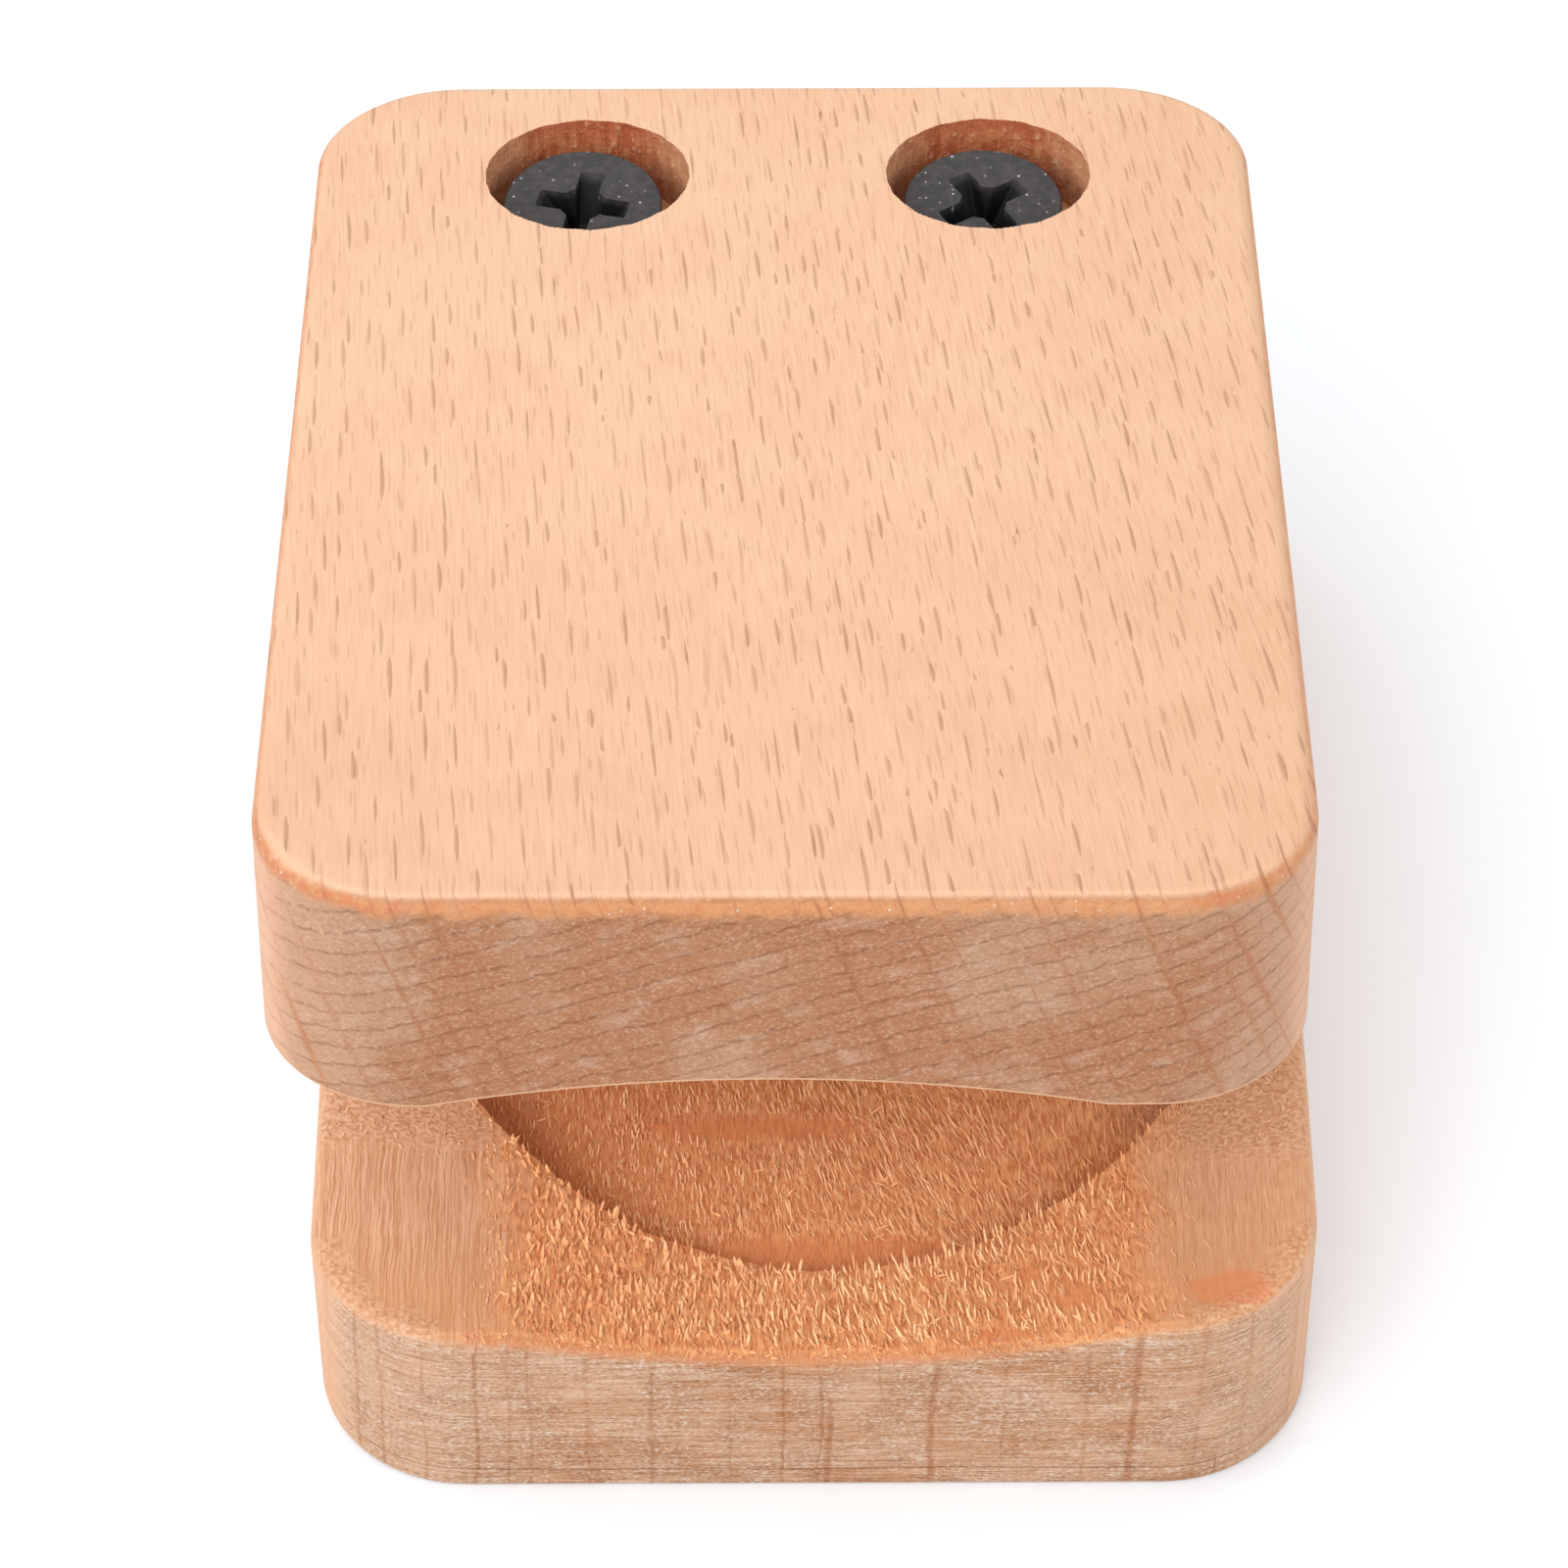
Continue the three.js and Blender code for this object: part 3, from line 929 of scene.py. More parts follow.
class Beech(Finish):
    """Wood measured in mm in the board's own frame."""

    def __init__(self, name, place, grain_lean, ring_tilt, waviness, **constants):
        super().__init__(name, **constants)
        found = self.node("ShaderNodeTexCoord", {}, {})
        turn = place.to_euler()
        settings = {"vector_type": "TEXTURE"}
        spot = {
            "Vector": found.outputs["Object"],
            "Location": place.to_translation(),
            "Rotation": turn,
            "Scale": (MM, MM, MM),
        }
        self.x, self.y, self.z = self.parts(self.node("ShaderNodeMapping", settings, spot).outputs[0])
        facing = {"Vector": found.outputs["Normal"], "Rotation": turn}
        self.nx, self.ny, self.nz = self.parts(self.node("ShaderNodeMapping", settings, facing).outputs[0])
        self.end = abs(self.ny).smooth(0.35, 0.75)
        self.side = abs(self.nx).smooth(0.55, 0.9)
        leaned = self.x + self.y * (grain_lean + self.x * 0.0012)
        waver = self.noise(leaned / 7, self.y / 22, self.z / 7) - 0.5
        flutter = self.noise(leaned / 0.9, self.y / 2.2, self.z / 0.9) - 0.5
        cos, sin = math.cos(ring_tilt), math.sin(ring_tilt)
        self.across = leaned * cos + self.z * sin + waver * 0.6 + flutter * waviness
        self.along = self.y
        self.through = self.z * cos - leaned * sin + waver * 0.7

    def rays(self, pitch, half_length, half_width):
        """Lens-shaped rays: dark flecks on a face and lines on the end grain, each with a soft halo; each
        fleck carries painted shading that fades it out on one side.
        """
        wide, long = pitch
        offset, _, chance = self.cells(self.across / wide, self.along / long, self.through / RAY_DEPTH)
        reach = half_length * (0.45 + 0.75 * chance[0])
        end = offset[1] * long / reach
        taper = 1 - end * end
        width = half_width * (0.6 + 0.7 * chance[1])
        beside = offset[0] * wide
        inside = width * taper - abs(beside)
        soft = 0.35 * half_width
        # Painted shading: the core fades out towards one side, as a shallow groove lit from that side would
        # look
        shade = (beside / half_width).smooth(-1.6, 0.5)
        core = inside.smooth(-soft, soft) * shade * (0.45 + 0.55 * chance[2])
        halo = inside.smooth(-0.2, 0.1) * chance[2].smooth(0.0, 0.8) * (0.5 + 0.5 * chance[1])
        return core, halo, beside / wide

    def rings(self, beside, pitch, line, shown):
        """Thin lines between the wood of two years, arched between the rays and broken at them."""
        bulge = self.noise(self.across / 1.1, self.along / 8, self.through / 1.1) - 0.5
        fuzz = self.noise(self.across / 0.3, self.along / 3, self.through / 0.3) - 0.5
        drift = self.noise(self.across / 20, self.along / 70, self.through / 9)
        arch = beside * beside * 0.35
        count = (self.through - arch + bulge * 0.3 + fuzz * 0.045) / pitch + drift * 0.9
        share = count.math("FRACT")
        edge = share.smooth(1 - 2.2 * line, 1 - 0.7 * line) * share.smooth(1.0, 1 - 0.4 * line)
        gaps = self.noise(self.across / 0.7, self.along / 30, self.through / 0.9, 2.0)
        return edge * gaps.smooth(shown - 0.1, shown + 0.14) * abs(beside).smooth(0.02, 0.1)

    def streaks(self, width, length, detail=3.0):
        """Fine light and dark fibres, from -1 to 1 or so."""
        fine = self.noise(self.across / width, self.along / length, self.through / width, detail)
        return (fine - 0.5) * 4

    def glints(self, pitch, rare):
        """Small bright specks: painted glints."""
        _, distance, chance = self.cells(self.x / pitch, self.y / pitch, self.z / pitch)
        return distance.smooth(0.30, 0.10) * chance[0].smooth(rare, rare + 0.02)

    def patches(self, size, seed, detail=2.0):
        """Soft patches of one size."""
        return self.noise(self.x / size + seed, self.y / size, self.z / size, detail)

    def grit(self, wide, tall, detail=3.0):
        """Rough sawn texture, wider than it is tall."""
        return self.noise(self.x / wide, self.y / wide, self.z / tall, detail, 0.6)

    def in_recess(self):
        """1 inside the round recess and on its wall."""
        reach = from_axis(self.x - RECESS_X / MM, self.y - RECESS_Y / MM)
        return reach.smooth(RECESS_RADIUS / MM + 0.4, RECESS_RADIUS / MM + 0.25)


# Wood of the two boards, in mm
UPPER_WOOD = {"grain_lean": 0.085, "ring_tilt": math.radians(19), "waviness": 0.06}
UPPER_RAYS = {"pitch": (1.5, 4.4), "half_length": 1.95, "half_width": 0.10}
UPPER_SMALL_RAYS = {"pitch": (0.95, 3.0), "half_length": 1.1, "half_width": 0.065}
UPPER_RINGS = {"pitch": 1.22, "line": 0.105, "shown": 0.35}
LOWER_WOOD = {"grain_lean": 0.015, "ring_tilt": math.radians(-1), "waviness": 0.3}
LOWER_RAYS = {"pitch": (2.0, 6.5), "half_length": 4.5, "half_width": 0.12}
LOWER_SMALL_RAYS = {"pitch": (1.05, 3.1), "half_length": 1.2, "half_width": 0.07}
LOWER_RINGS = {"pitch": 1.7, "line": 0.06, "shown": 0.48}
SAW_SCRATCH = 1.6

# Colours of the sanded board
PEACH = paint(250, 202, 165)
PINK_PEACH = paint(246, 194, 157)
PALE_FIBRE = paint(253, 212, 178)
FLECK = (0.65, 0.57, 0.53, 1)
END_TAN = paint(194, 147, 113, FRONT_LIGHT)
END_PALE = paint(212, 174, 150, FRONT_LIGHT)
END_ORANGE = paint(184, 125, 86, FRONT_LIGHT)
# Painted light on the rounded corners of the end grain
CORNER_PAINTED_LIGHT = paint(217, 170, 138, FRONT_LIGHT)
RING_LINE = (0.62, 0.52, 0.46, 1)
GRIT_SHADE = (0.80, 0.75, 0.71, 1)
RAY_ORANGE = (0.95, 0.76, 0.61, 1)
BURNISHED = paint(231, 163, 110)
SCORCHED = paint(214, 124, 82)
SIDE_TINT = (0.93, 0.80, 0.70, 1)
# Painted shade towards the front of the face
FRONT_PAINTED_SHADE = (0.95, 0.91, 0.90, 1)
DEEPER_TINT = (0.97, 0.95, 0.925, 1)
# Painted highlight along the lip
PALE_LIP_HIGHLIGHT = paint(240, 190, 150)
# White specks on the sawn end, also used for painted glints
WHITE_SPECK_AND_GLINT = paint(255, 240, 225)
SPARKLE = paint(222, 184, 156, FRONT_LIGHT)
BORE_BROWN = paint(218, 136, 88)
BORE_RED = paint(194, 100, 61)
BORE_TAN = paint(232, 172, 128)

# Colours of the sawn board and of both hollows
LOWER_TAN = paint(212, 155, 112, FRONT_LIGHT)
LOWER_PALE = paint(229, 182, 146, FRONT_LIGHT)
LOWER_LINE = (0.82, 0.68, 0.58, 1)
PIT_SHADE = (0.70, 0.62, 0.55, 1)
SAW_SHADE = (0.76, 0.68, 0.62, 1)
STRIP_ORANGE = paint(180, 126, 89, INNER_LIGHT)
STRIP_PALE = paint(212, 171, 138, INNER_LIGHT)
RIGHT_TINT = (1.0, 0.98, 0.94, 1)
# Painted shade for the recess wall
WALL_PAINTED_SHADE = paint(188, 105, 61, INNER_LIGHT)
# Dark torn wood, also used for painted shade in the recess
RAW_DARK_AND_SHADE = paint(192, 121, 75, INNER_LIGHT)
RAW_ORANGE = paint(226, 170, 118, INNER_LIGHT)
RUBBED_RED = paint(204, 124, 78, INNER_LIGHT)
FRONT_ORANGE = paint(208, 146, 98, MOUTH_LIGHT)
LIP_ORANGE = paint(208, 138, 96, LIP_LIGHT)
FIBRE_ORANGE = paint(224, 164, 114, INNER_LIGHT)
FIBRE_PALE = paint(248, 212, 166, INNER_LIGHT)
FIBRE_DULL = paint(212, 168, 132, INNER_LIGHT)

# Colours of the screws, the rubber and the floor
STEEL_DARK = paint(50, 47, 47)
STEEL_GREY = paint(75, 69, 69)
STEEL_DUST = paint(225, 225, 225)
# Painted shade for the cross recess
STEEL_RECESS_SHADE = paint(16, 15, 16)
RUBBER_DARK = paint(34, 34, 35)
RUBBER_GREY = paint(47, 46, 46)
FLOOR_WHITE = (0.80, 0.83, 0.86, 1)


def sanded_face(wood, fibre, fleck, small, line):
    """Peach wood with pale fibres and dark flecks, deeper to the right and on the sides, and darkened
    towards the front by painted shade.
    """
    cloud = wood.patches(7.0, 0).smooth(0.35, 0.65)
    face = wood.blend(cloud * 0.7, PEACH, PINK_PEACH)
    face = wood.blend(fibre.smooth(0.0, 1.1) * 0.75, face, PALE_FIBRE)
    face = wood.tint(face, fibre.smooth(0.0, -1.2) * 0.32, FLECK)
    # Painted shade: the face darkens towards the front
    face = wood.tint(face, wood.y.smooth(-15, -75), FRONT_PAINTED_SHADE)
    face = wood.tint(face, wood.x.smooth(5, 28), DEEPER_TINT)
    face = wood.tint(face, wood.side * 0.5, SIDE_TINT)
    face = wood.tint(face, wood.side * line * 0.5, FLECK)
    face = wood.tint(face, small * 0.5, FLECK)
    return wood.tint(face, fleck * (0.95 - wood.side * 0.55), FLECK)


def sanded_end(wood, fleck, halo, small, line, grit, glint):
    """Gritty end grain, orange and tan with paler patches, crossed by rings and rays, with painted light on
    its rounded corners and painted glints.
    """
    zone = wood.noise(wood.x / 9 + 3.7, wood.y / 30, wood.z / 7, 2.0)
    zone = zone - abs(wood.x + 12).smooth(9, 3) * 0.15
    pale_share = wood.noise(wood.across / 2.0 + 4.1, wood.along / 20, wood.through / 0.9, 2.0)
    mottle = wood.noise(wood.x / 0.8, wood.y / 2, wood.z / 0.4, 2.0)
    grain = wood.blend(zone.smooth(0.40, 0.60), END_ORANGE, END_TAN)
    grain = wood.blend(pale_share.smooth(0.52, 0.80) * 0.6, grain, END_PALE)
    # Painted light: the end grain turns paler where it rounds the corners to face sideways
    grain = wood.blend(abs(wood.nx).smooth(0.15, 0.75) * 0.65, grain, CORNER_PAINTED_LIGHT)
    grain = wood.tint(grain, mottle.smooth(0.48, 0.72) * 0.45, GRIT_SHADE)
    grain = wood.tint(grain, grit.smooth(0.48, 0.70) * 0.7, GRIT_SHADE)
    grain = wood.blend(grit.smooth(0.48, 0.28) * 0.5, grain, SPARKLE)
    grain = wood.tint(grain, halo * 0.95 + small * 0.2, RAY_ORANGE)
    grain = wood.tint(grain, fleck * 0.12, RING_LINE)
    grain = wood.tint(grain, line * 0.7, RING_LINE)
    # Painted glints on the end grain
    return wood.blend(glint * 0.17, grain, WHITE_SPECK_AND_GLINT)


def burnished_edge(wood, colour, fibre, fleck, glint):
    """The upper edge, rubbed orange by the sander and scorched red in places, and flecked with painted
    glints.
    """
    smoulder = wood.noise(wood.x / 0.6, wood.y / 0.6, wood.z / 0.5, 3.0)
    uneven = (smoulder - 0.5) * 1.2 + (wood.patches(3.0, 2.2) - 0.5) * 1.4
    below = COUNTERBORE_DEPTH / MM - wood.z + uneven
    edge = below.smooth(1.35, 0.65) * wood.nz.smooth(0.90, 0.52)
    left_corner = wood.x.smooth(-18, -22) * wood.end
    scorch = wood.patches(5.0, 9.1).smooth(0.54, 0.66).math("MAXIMUM", left_corner)
    scorch = edge * scorch * smoulder.smooth(0.35, 0.55)
    colour = wood.blend(edge * 0.8, colour, BURNISHED)
    colour = wood.blend(edge * smoulder.smooth(0.44, 0.74) * 0.5, colour, SCORCHED)
    colour = wood.tint(colour, edge * fibre.smooth(0.1, -1.0) * 0.5, FLECK)
    colour = wood.blend(scorch * 0.6, colour, SCORCHED)
    colour = wood.tint(colour, edge * fleck * 0.8, FLECK)
    # Painted glints on the rubbed edge
    return wood.blend(edge * glint * 0.7, colour, WHITE_SPECK_AND_GLINT)


def bored_walls(wood, colour):
    """Ripped red-brown walls of the counterbores; also gives where they are and their relief."""
    aside = abs(wood.x - BORE_SET / MM) - SCREW_SPACING / 2 / MM
    back = wood.y - SEAT_FORWARD / MM
    radius = COUNTERBORE_RADIUS / MM
    top = COUNTERBORE_DEPTH / MM
    deep = wood.z.smooth(top - 0.2, top - 0.4)
    bore = from_axis(aside, back).smooth(radius + 0.25, radius + 0.15)
    bore = bore * wood.nz.smooth(0.8, 0.5).math("MAXIMUM", deep) * wood.z.smooth(-8, -7)
    rip = wood.noise(wood.x / 0.6, wood.y / 0.6, wood.z / 1.6, 4.0)
    shred = wood.patches(0.5, 5.5, 3.0)
    wall = wood.blend(rip.smooth(0.36, 0.62), BORE_RED, BORE_BROWN)
    wall = wood.blend(wood.z.smooth(3.0, 4.3) * 0.6, wall, BORE_RED)
    wall = wood.blend((abs(aside) + (rip - 0.5) * 3).smooth(2.4, 6.0) * 0.75, wall, BORE_TAN)
    wall = wood.blend(shred.smooth(0.60, 0.70) * 0.55, wall, STRIP_PALE)
    return wood.blend(bore, colour, wall), bore, rip + shred


def upper_beech():
    """Satin wood of the struck board, raw on its underside."""
    wood = Beech("sanded_beech", ROCKER, **UPPER_WOOD, Specular_IOR_Level=0.35)
    fleck, halo, beside = wood.rays(**UPPER_RAYS)
    small, _, _ = wood.rays(**UPPER_SMALL_RAYS)
    line = wood.rings(beside, **UPPER_RINGS)
    fibre = wood.streaks(width=0.13, length=3.5)
    torn = wood.streaks(width=0.22, length=1.4)
    grit = wood.noise(wood.across / 0.2, wood.along / 0.5, wood.through / 0.12, 2.0)
    glint = wood.glints(pitch=0.3, rare=0.88)
    inner = wood.nz.smooth(-0.3, -0.6)

    face = sanded_face(wood, fibre, fleck, small, line)
    grain = sanded_end(wood, fleck, halo, small, line, grit, glint)
    colour = wood.blend(wood.end, face, grain)
    colour = burnished_edge(wood, colour, fibre, fleck, glint)
    raw = wood.blend(torn.smooth(-0.9, 0.9), RAW_DARK_AND_SHADE, RAW_ORANGE)
    colour = wood.blend(inner, colour, raw)
    colour, bore, ripped = bored_walls(wood, colour)
    # Painted highlight: a pale line along the lip where the faces turn under
    lip = wood.nz.smooth(-0.05, -0.2) * wood.nz.smooth(-0.96, -0.8) * (1 - bore)
    colour = wood.blend(lip * 0.9, colour, PALE_LIP_HIGHLIGHT)

    height = fibre * 0.005 - fleck * 0.035 - small * 0.012
    height = height - wood.end * line * 0.012 + wood.end * grit * 0.02
    height = height + inner * torn * 0.03 + bore * ripped * 0.16
    roughness = 0.52 + wood.end * 0.2 + inner * 0.25
    return wood.surface(colour, roughness, height)


def sawn_face(wood, fibre, fleck, small, line, saw):
    """Plain wood with flecks and saw marks, browner on its sides."""
    face = wood.blend(fibre.smooth(-1.0, 1.0), PINK_PEACH, PEACH)
    face = wood.tint(face, fleck * (0.9 - wood.side * 0.65) + small * 0.35, FLECK)
    face = wood.tint(face, wood.side * 0.4, SIDE_TINT)
    face = wood.tint(face, wood.side * line * 0.5, FLECK)
    return wood.tint(face, saw.smooth(0.50, 0.62) * 0.5, SAW_SHADE)


def sawn_end(wood, fleck, halo, line, grit, saw, rough):
    """Pitted, saw-marked end grain with one long scratch, crossed by rays, paler in patches and with
    painted light on its corners and its left end.
    """
    pale_share = wood.noise(wood.x / 8, wood.y / 8, wood.z / 4, 2.0).smooth(0.35, 0.65)
    # Painted light: paler where the end grain rounds the corners and towards its left end
    pale_share = pale_share.math("MAXIMUM", abs(wood.nx).smooth(0.1, 0.6))
    pale_share = pale_share.math("MAXIMUM", wood.x.smooth(-10, -22))
    waver = (wood.noise(wood.x / 12, wood.y / 12, 0.0) - 0.5) * 0.5
    scratch = abs(wood.z + waver - SAW_SCRATCH).smooth(0.10, 0.04)
    grain = wood.blend(pale_share, LOWER_TAN, LOWER_PALE)
    grain = wood.tint(grain, grit.smooth(0.49, 0.36) * (0.6 + rough * 0.6), PIT_SHADE)
    grain = wood.blend(grit.smooth(0.55, 0.66) * (0.3 + rough * 0.6), grain, WHITE_SPECK_AND_GLINT)
    grain = wood.tint(grain, saw.smooth(0.51, 0.63) * 0.85, SAW_SHADE)
    grain = wood.blend(saw.smooth(0.46, 0.36) * 0.3, grain, WHITE_SPECK_AND_GLINT)
    grain = wood.tint(grain, line * 0.5, LOWER_LINE)
    grain = wood.tint(grain, scratch * 0.8, RING_LINE)
    return wood.tint(grain, fleck * 0.55 + halo * 1.05, LOWER_LINE)


def crumbly(wood):
    """1 on the crumbly band behind the strips and along the front corners, with a ragged edge."""
    ragged = (wood.patches(1.2, 2.0, 3.0) - 0.5) * 2.0
    aside = (abs(wood.x) - (WIDTH / 2 - CORNER_RADIUS) / MM).math("MAXIMUM", 0.0)
    front = ((CORNER_RADIUS - LENGTH / 2) / MM - wood.y).math("MAXIMUM", 0.0)
    corner = from_axis(aside, front) + ragged * 1.5
    corner = corner.smooth(6.0, 7.8) * aside.smooth(0.0, 2.0) * front.smooth(0.0, 2.0)
    band = (wood.y + wood.x * BAND_SLANT + ragged).smooth(-27.8, -25.9)
    return band.math("MAXIMUM", corner)


def rub_brown(wood, colour, torn):
    """Adds the smeared spots that the cutter rubbed brown."""
    smear = (wood.noise(wood.x / 2.0, wood.y / 0.35, 1.3, 2.0) - 0.5) * 3.5
    for middle_x, middle_y, half_x, half_y in RUBBED:
        right = (wood.x - middle_x) / half_x
        back = (wood.y - middle_y) / half_y
        spot = (right * right + back * back + smear).smooth(1.9, 0.4)
        colour = wood.blend(spot * (0.58 + torn * 0.2), colour, RUBBED_RED)
    return colour


def hollowed_face(wood, torn, crumb, in_recess):
    """Combed strips, a crumbly band and torn wood in the hollow, with a painted shadow on the left of the
    recess; gives their colour and relief.
    """
    off = abs(wood.x - RECESS_X / MM) + (wood.patches(2.4, 3.3, 3.0) - 0.5) * 6
    fuzzy = off.smooth(FUZZ_OUTER / MM, FUZZ_INNER / MM)
    crumbs = crumbly(wood)
    sway = (wood.noise(wood.x / 1.5, wood.y / 2.5, 7.7) - 0.5) * 0.6
    comb = (wood.noise((wood.x + sway) / 0.10, wood.y / 6, 2.2, 1.0) - 0.5) * 5
    fine = (wood.noise(wood.x / 0.08, wood.y / 1.2, 5.1, 2.0) - 0.5) * 2.5
    ridge = comb * wood.x.smooth(45, -10) + fine
    strip = wood.blend(ridge.smooth(-1.2, 1.2), STRIP_ORANGE, STRIP_PALE)
    strip = wood.blend(wood.y.smooth(-31, -38) * 0.5, strip, FRONT_ORANGE)
    sand = wood.blend(crumb.smooth(0.28, 0.72), STRIP_ORANGE, STRIP_PALE)
    # Painted glints on the crumbs
    sand = wood.blend(wood.glints(pitch=0.28, rare=0.8) * 0.45, sand, FIBRE_PALE)
    strip = wood.blend(crumbs * 0.9, strip, sand)
    strip = wood.tint(strip, wood.x.smooth(8, 20), RIGHT_TINT)
    raw = wood.blend(torn.smooth(-0.8, 0.8), RAW_DARK_AND_SHADE, RAW_ORANGE)
    colour = wood.blend(fuzzy, strip, raw)
    # Painted shadow: the left of the recess floor is darkened, as beside the rim
    colour = wood.blend(in_recess * wood.x.smooth(0, -12) * 0.5, colour, RAW_DARK_AND_SHADE)
    colour = rub_brown(wood, colour, torn)
    flat = ridge * 0.014 * (1 - crumbs) + crumb * crumbs * 0.15
    return colour, fuzzy * torn * 0.045 + (1 - fuzzy) * flat


def lower_beech():
    """Bare wood of the lower board, sawn on its ends and milled on its inner face."""
    wood = Beech("sawn_beech", LOWER_PLACE, **LOWER_WOOD, Specular_IOR_Level=0.3)
    fleck, halo, beside = wood.rays(**LOWER_RAYS)
    small, _, _ = wood.rays(**LOWER_SMALL_RAYS)
    line = wood.rings(beside, **LOWER_RINGS)
    fibre = wood.streaks(width=0.16, length=5.0)
    torn = wood.streaks(width=0.16, length=0.9)
    crumb = wood.patches(size=0.27, seed=1.7, detail=4.0)
    grit = wood.grit(wide=0.24, tall=0.12, detail=4.0)
    saw = wood.grit(wide=3.5, tall=0.10)
    rough = wood.patches(size=3.0, seed=6.3, detail=3.0).smooth(0.30, 0.62)
    inner = wood.nz.smooth(0.45, 0.85)
    in_recess = wood.in_recess()

    face = sawn_face(wood, fibre, fleck, small, line, saw)
    grain = sawn_end(wood, fleck, halo, line, grit, saw, rough)
    colour = wood.blend(wood.end, face, grain)
    milled, relief = hollowed_face(wood, torn, crumb, in_recess)
    colour = wood.blend(inner, colour, milled)
    lip = wood.nz.smooth(0.25, 0.5) * wood.nz.smooth(0.965, 0.88)
    lip = lip * wood.x.smooth(15, 8) * wood.x.smooth(-21, -17) * crumb.smooth(0.3, 0.55)
    colour = wood.blend(lip * 0.75, colour, LIP_ORANGE)
    # Painted shade on the wall of the recess
    wall = in_recess * wood.nz.smooth(0.7, 0.4) * wood.z.smooth(8, 9)
    colour = wood.blend(wall, colour, wood.blend(torn.smooth(-1.0, 1.0), WALL_PAINTED_SHADE, RAW_DARK_AND_SHADE))

    height = (1 - inner) * (fibre * 0.006 - fleck * 0.03)
    height = height + wood.end * (grit * (0.03 + rough * 0.09) + saw * 0.05 - line * 0.04)
    height = height + inner * relief
    roughness = 0.62 + wood.end * 0.15 + inner * 0.15
    return wood.surface(colour, roughness, height)


def torn_fibre():
    """Dry fibres, coloured by their tone."""
    finish = Finish("torn_fibre", Roughness=0.75, Specular_IOR_Level=0.25)
    tone = Value(finish, finish.node("ShaderNodeAttribute", {"attribute_name": "tone"}, {}).outputs["Fac"])
    colour = finish.blend(tone, FIBRE_ORANGE, FIBRE_PALE)
    colour = finish.blend(tone * -1, colour, FIBRE_DULL)
    finish.feed(finish.shader.inputs["Base Color"], colour)
    return finish.material


def black_steel():
    """Matt black coating with pale dust on the head, and painted shade darkening it below the head's top,
    in the cross recess.
    """
    finish = Finish("black_steel", Specular_IOR_Level=0.4)
    x, y, z = finish.place_mm()
    top = SCREW_HIGH.z / MM
    scale = finish.noise(x / 0.5, y / 0.5, z / 0.5, detail=4.0)
    fine = finish.noise(x / 0.12, y / 0.12, z / 0.12)
    _, distance, chance = finish.cells(x / 0.4, y / 0.4, z / 9)
    dust = distance.smooth(0.26, 0.12) * chance[0].smooth(0.55, 0.95) * scale.smooth(0.42, 0.58)
    colour = finish.blend(scale.smooth(0.35, 0.7), STEEL_DARK, STEEL_GREY)
    colour = finish.blend(dust * 0.8, colour, STEEL_DUST)
    # Painted shade: darker below the top of the head, in the cross recess
    colour = finish.blend(z.smooth(top - 0.12, top - 0.6) * 0.95, colour, STEEL_RECESS_SHADE)
    return finish.surface(colour, 0.5 + scale * 0.25, scale * 0.02 + fine * 0.012)


def black_rubber():
    """Matt rubber, a little scuffed."""
    finish = Finish("black_rubber", Specular_IOR_Level=0.35)
    x, y, z = finish.place_mm()
    scuff = finish.noise(x / 2.5, y / 2.5, z / 2.5, detail=4.0)
    fine = finish.noise(x / 0.18, y / 0.18, z / 0.18, detail=3.0)
    colour = finish.blend(scuff.smooth(0.4, 0.75), RUBBER_DARK, RUBBER_GREY)
    return finish.surface(colour, 0.6 + scuff * 0.3, fine * 0.04)


# Set: floor, light and camera

FLOOR_SIZE = 4
SKY_STRENGTH = 0.5
LIGHT_TARGET = Vector((0, 0, 0.02))
# Each softbox: name, place, width and power
SOFTBOXES = (
    ("key", Vector((-0.35, -0.65, 0.60)), 0.7, 4.6),
    ("left", Vector((-0.75, -0.20, 0.50)), 0.6, 3.2),
    ("right", Vector((0.65, -0.40, 0.50)), 0.7, 3.4),
    ("overhead", Vector((-0.10, 0.35, 0.85)), 0.9, 5.0),
)
CAMERA_AT = Vector((-1.551, -253.723, 293.626)) * MM
CAMERA_ELEVATION = math.radians(47.718)
CAMERA_ROLL = math.radians(-0.197)
CAMERA_LENS = 147.39
SENSOR = 36.0
CLIP_START = 0.01


def floor():
    """A wide pale floor under the object."""
    bpy.ops.mesh.primitive_plane_add(size=FLOOR_SIZE, location=(0, 0, 0))
    ground = new_piece("floor")
    finish = Finish("pale_floor", Base_Color=FLOOR_WHITE, Roughness=0.9, Specular_IOR_Level=0.1)
    ground.data.materials.append(finish.material)


def softbox(name, place, width, power):
    """A round area light aimed at the object."""
    bpy.ops.object.light_add(type="AREA", location=place)
    lamp = bpy.context.object
    lamp.name = name
    lamp.data.shape = "DISK"
    lamp.data.size = width
    lamp.data.energy = power
    lamp.rotation_euler = (LIGHT_TARGET - place).to_track_quat("-Z", "Y").to_euler()


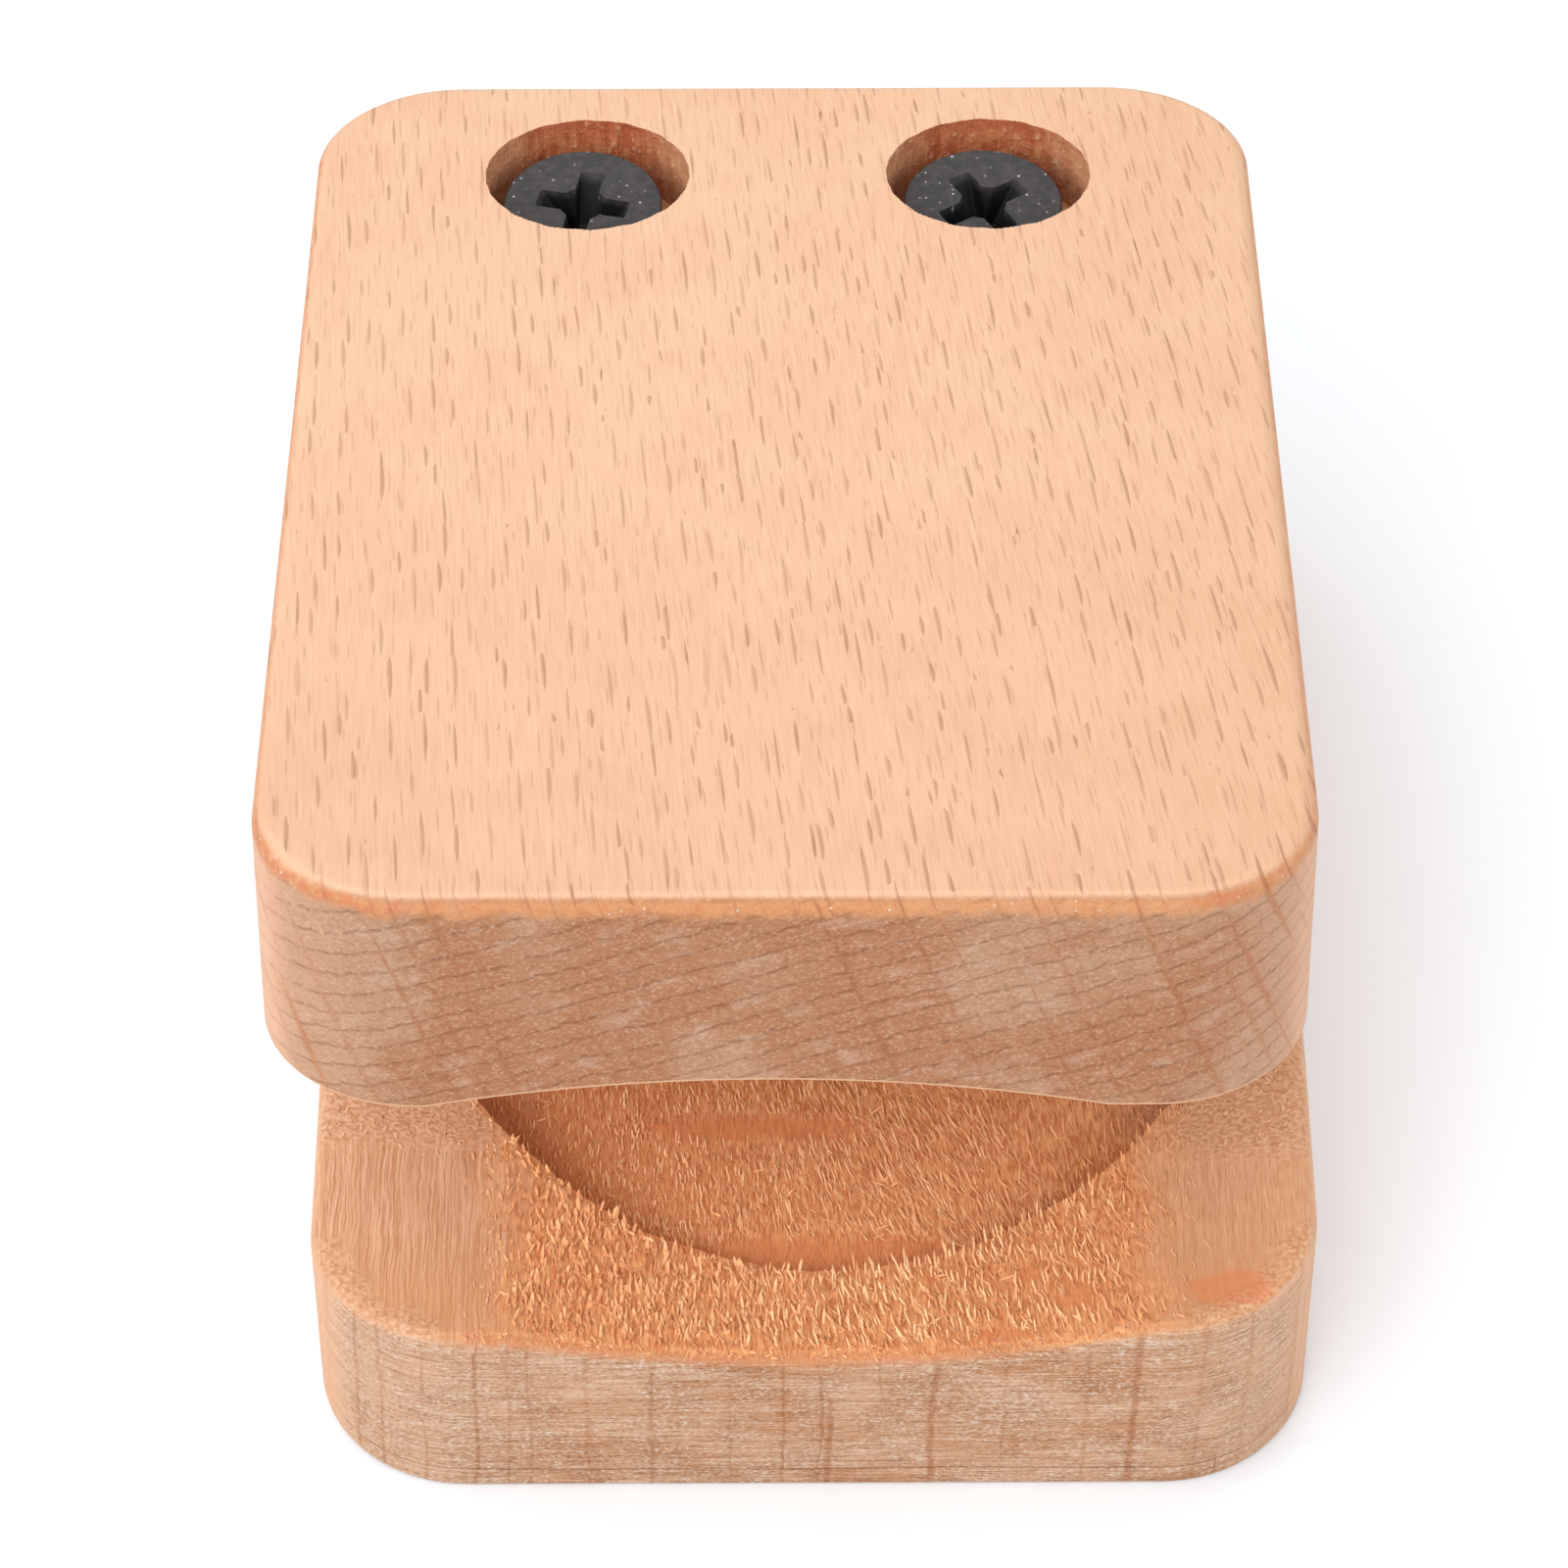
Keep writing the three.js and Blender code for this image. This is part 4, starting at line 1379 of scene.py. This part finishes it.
def studio():
    """White surroundings and four softboxes."""
    world = bpy.data.worlds.new("studio")
    world.use_nodes = True
    sky = world.node_tree.nodes["Background"]
    sky.inputs["Color"].default_value = (1, 1, 1, 1)
    sky.inputs["Strength"].default_value = SKY_STRENGTH
    bpy.context.scene.world = world
    for lamp in SOFTBOXES:
        softbox(*lamp)
    bpy.context.scene.view_settings.view_transform = "Standard"


def camera():
    """The photo's view, from above the open mouth."""
    data = bpy.data.cameras.new("camera")
    data.lens = CAMERA_LENS
    data.sensor_width = SENSOR
    data.sensor_fit = "HORIZONTAL"
    data.clip_start = CLIP_START
    eye = linked_piece("camera", data)
    tilt = Matrix.Rotation(math.pi / 2 - CAMERA_ELEVATION, 4, "X")
    eye.matrix_world = Matrix.Translation(CAMERA_AT) @ tilt @ Matrix.Rotation(CAMERA_ROLL, 4, "Z")
    bpy.context.scene.camera = eye


# The castanet

def build():
    """Models every piece and hands it over."""
    lower = lower_board()
    upper = upper_board()
    bpy.context.view_layer.update()
    fibre = fibre_shape()
    growth = grow_fibres(lower, LOWER_PLACE, fibre, **LOWER_FIBRES)
    strew_crumbs(growth)
    fray_mouth(growth)
    lower_fibres = growth.gathered("lower_fibres")
    upper_fibres = grow_fibres(upper, UPPER_PLACE, fibre, **UPPER_FIBRES).gathered("upper_fibres")
    bpy.data.objects.remove(fibre)
    fuzz = torn_fibre()
    steel = black_steel()
    hand_over(lower, lower_beech(), "base", "lower_beech", "lower_board")
    hand_over(upper, upper_beech(), "clapper", "upper_beech", "upper_board")
    hand_over(lower_fibres, fuzz, "base", "lower_beech")
    hand_over(upper_fibres, fuzz, "clapper", "upper_beech")
    for side, turn in (("left", LEFT_TURN), ("right", RIGHT_TURN)):
        screw = wood_screw(f"{side}_wood_screw", f"{side}_screw", turn)
        hand_over(screw, steel, "base", "black_steel", f"{side}_screw")
    wedge = rubber_wedge()
    hand_over(wedge, black_rubber(), None, "black_rubber", "rubber_wedge")
    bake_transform(wedge)


build()
floor()
studio()
camera()
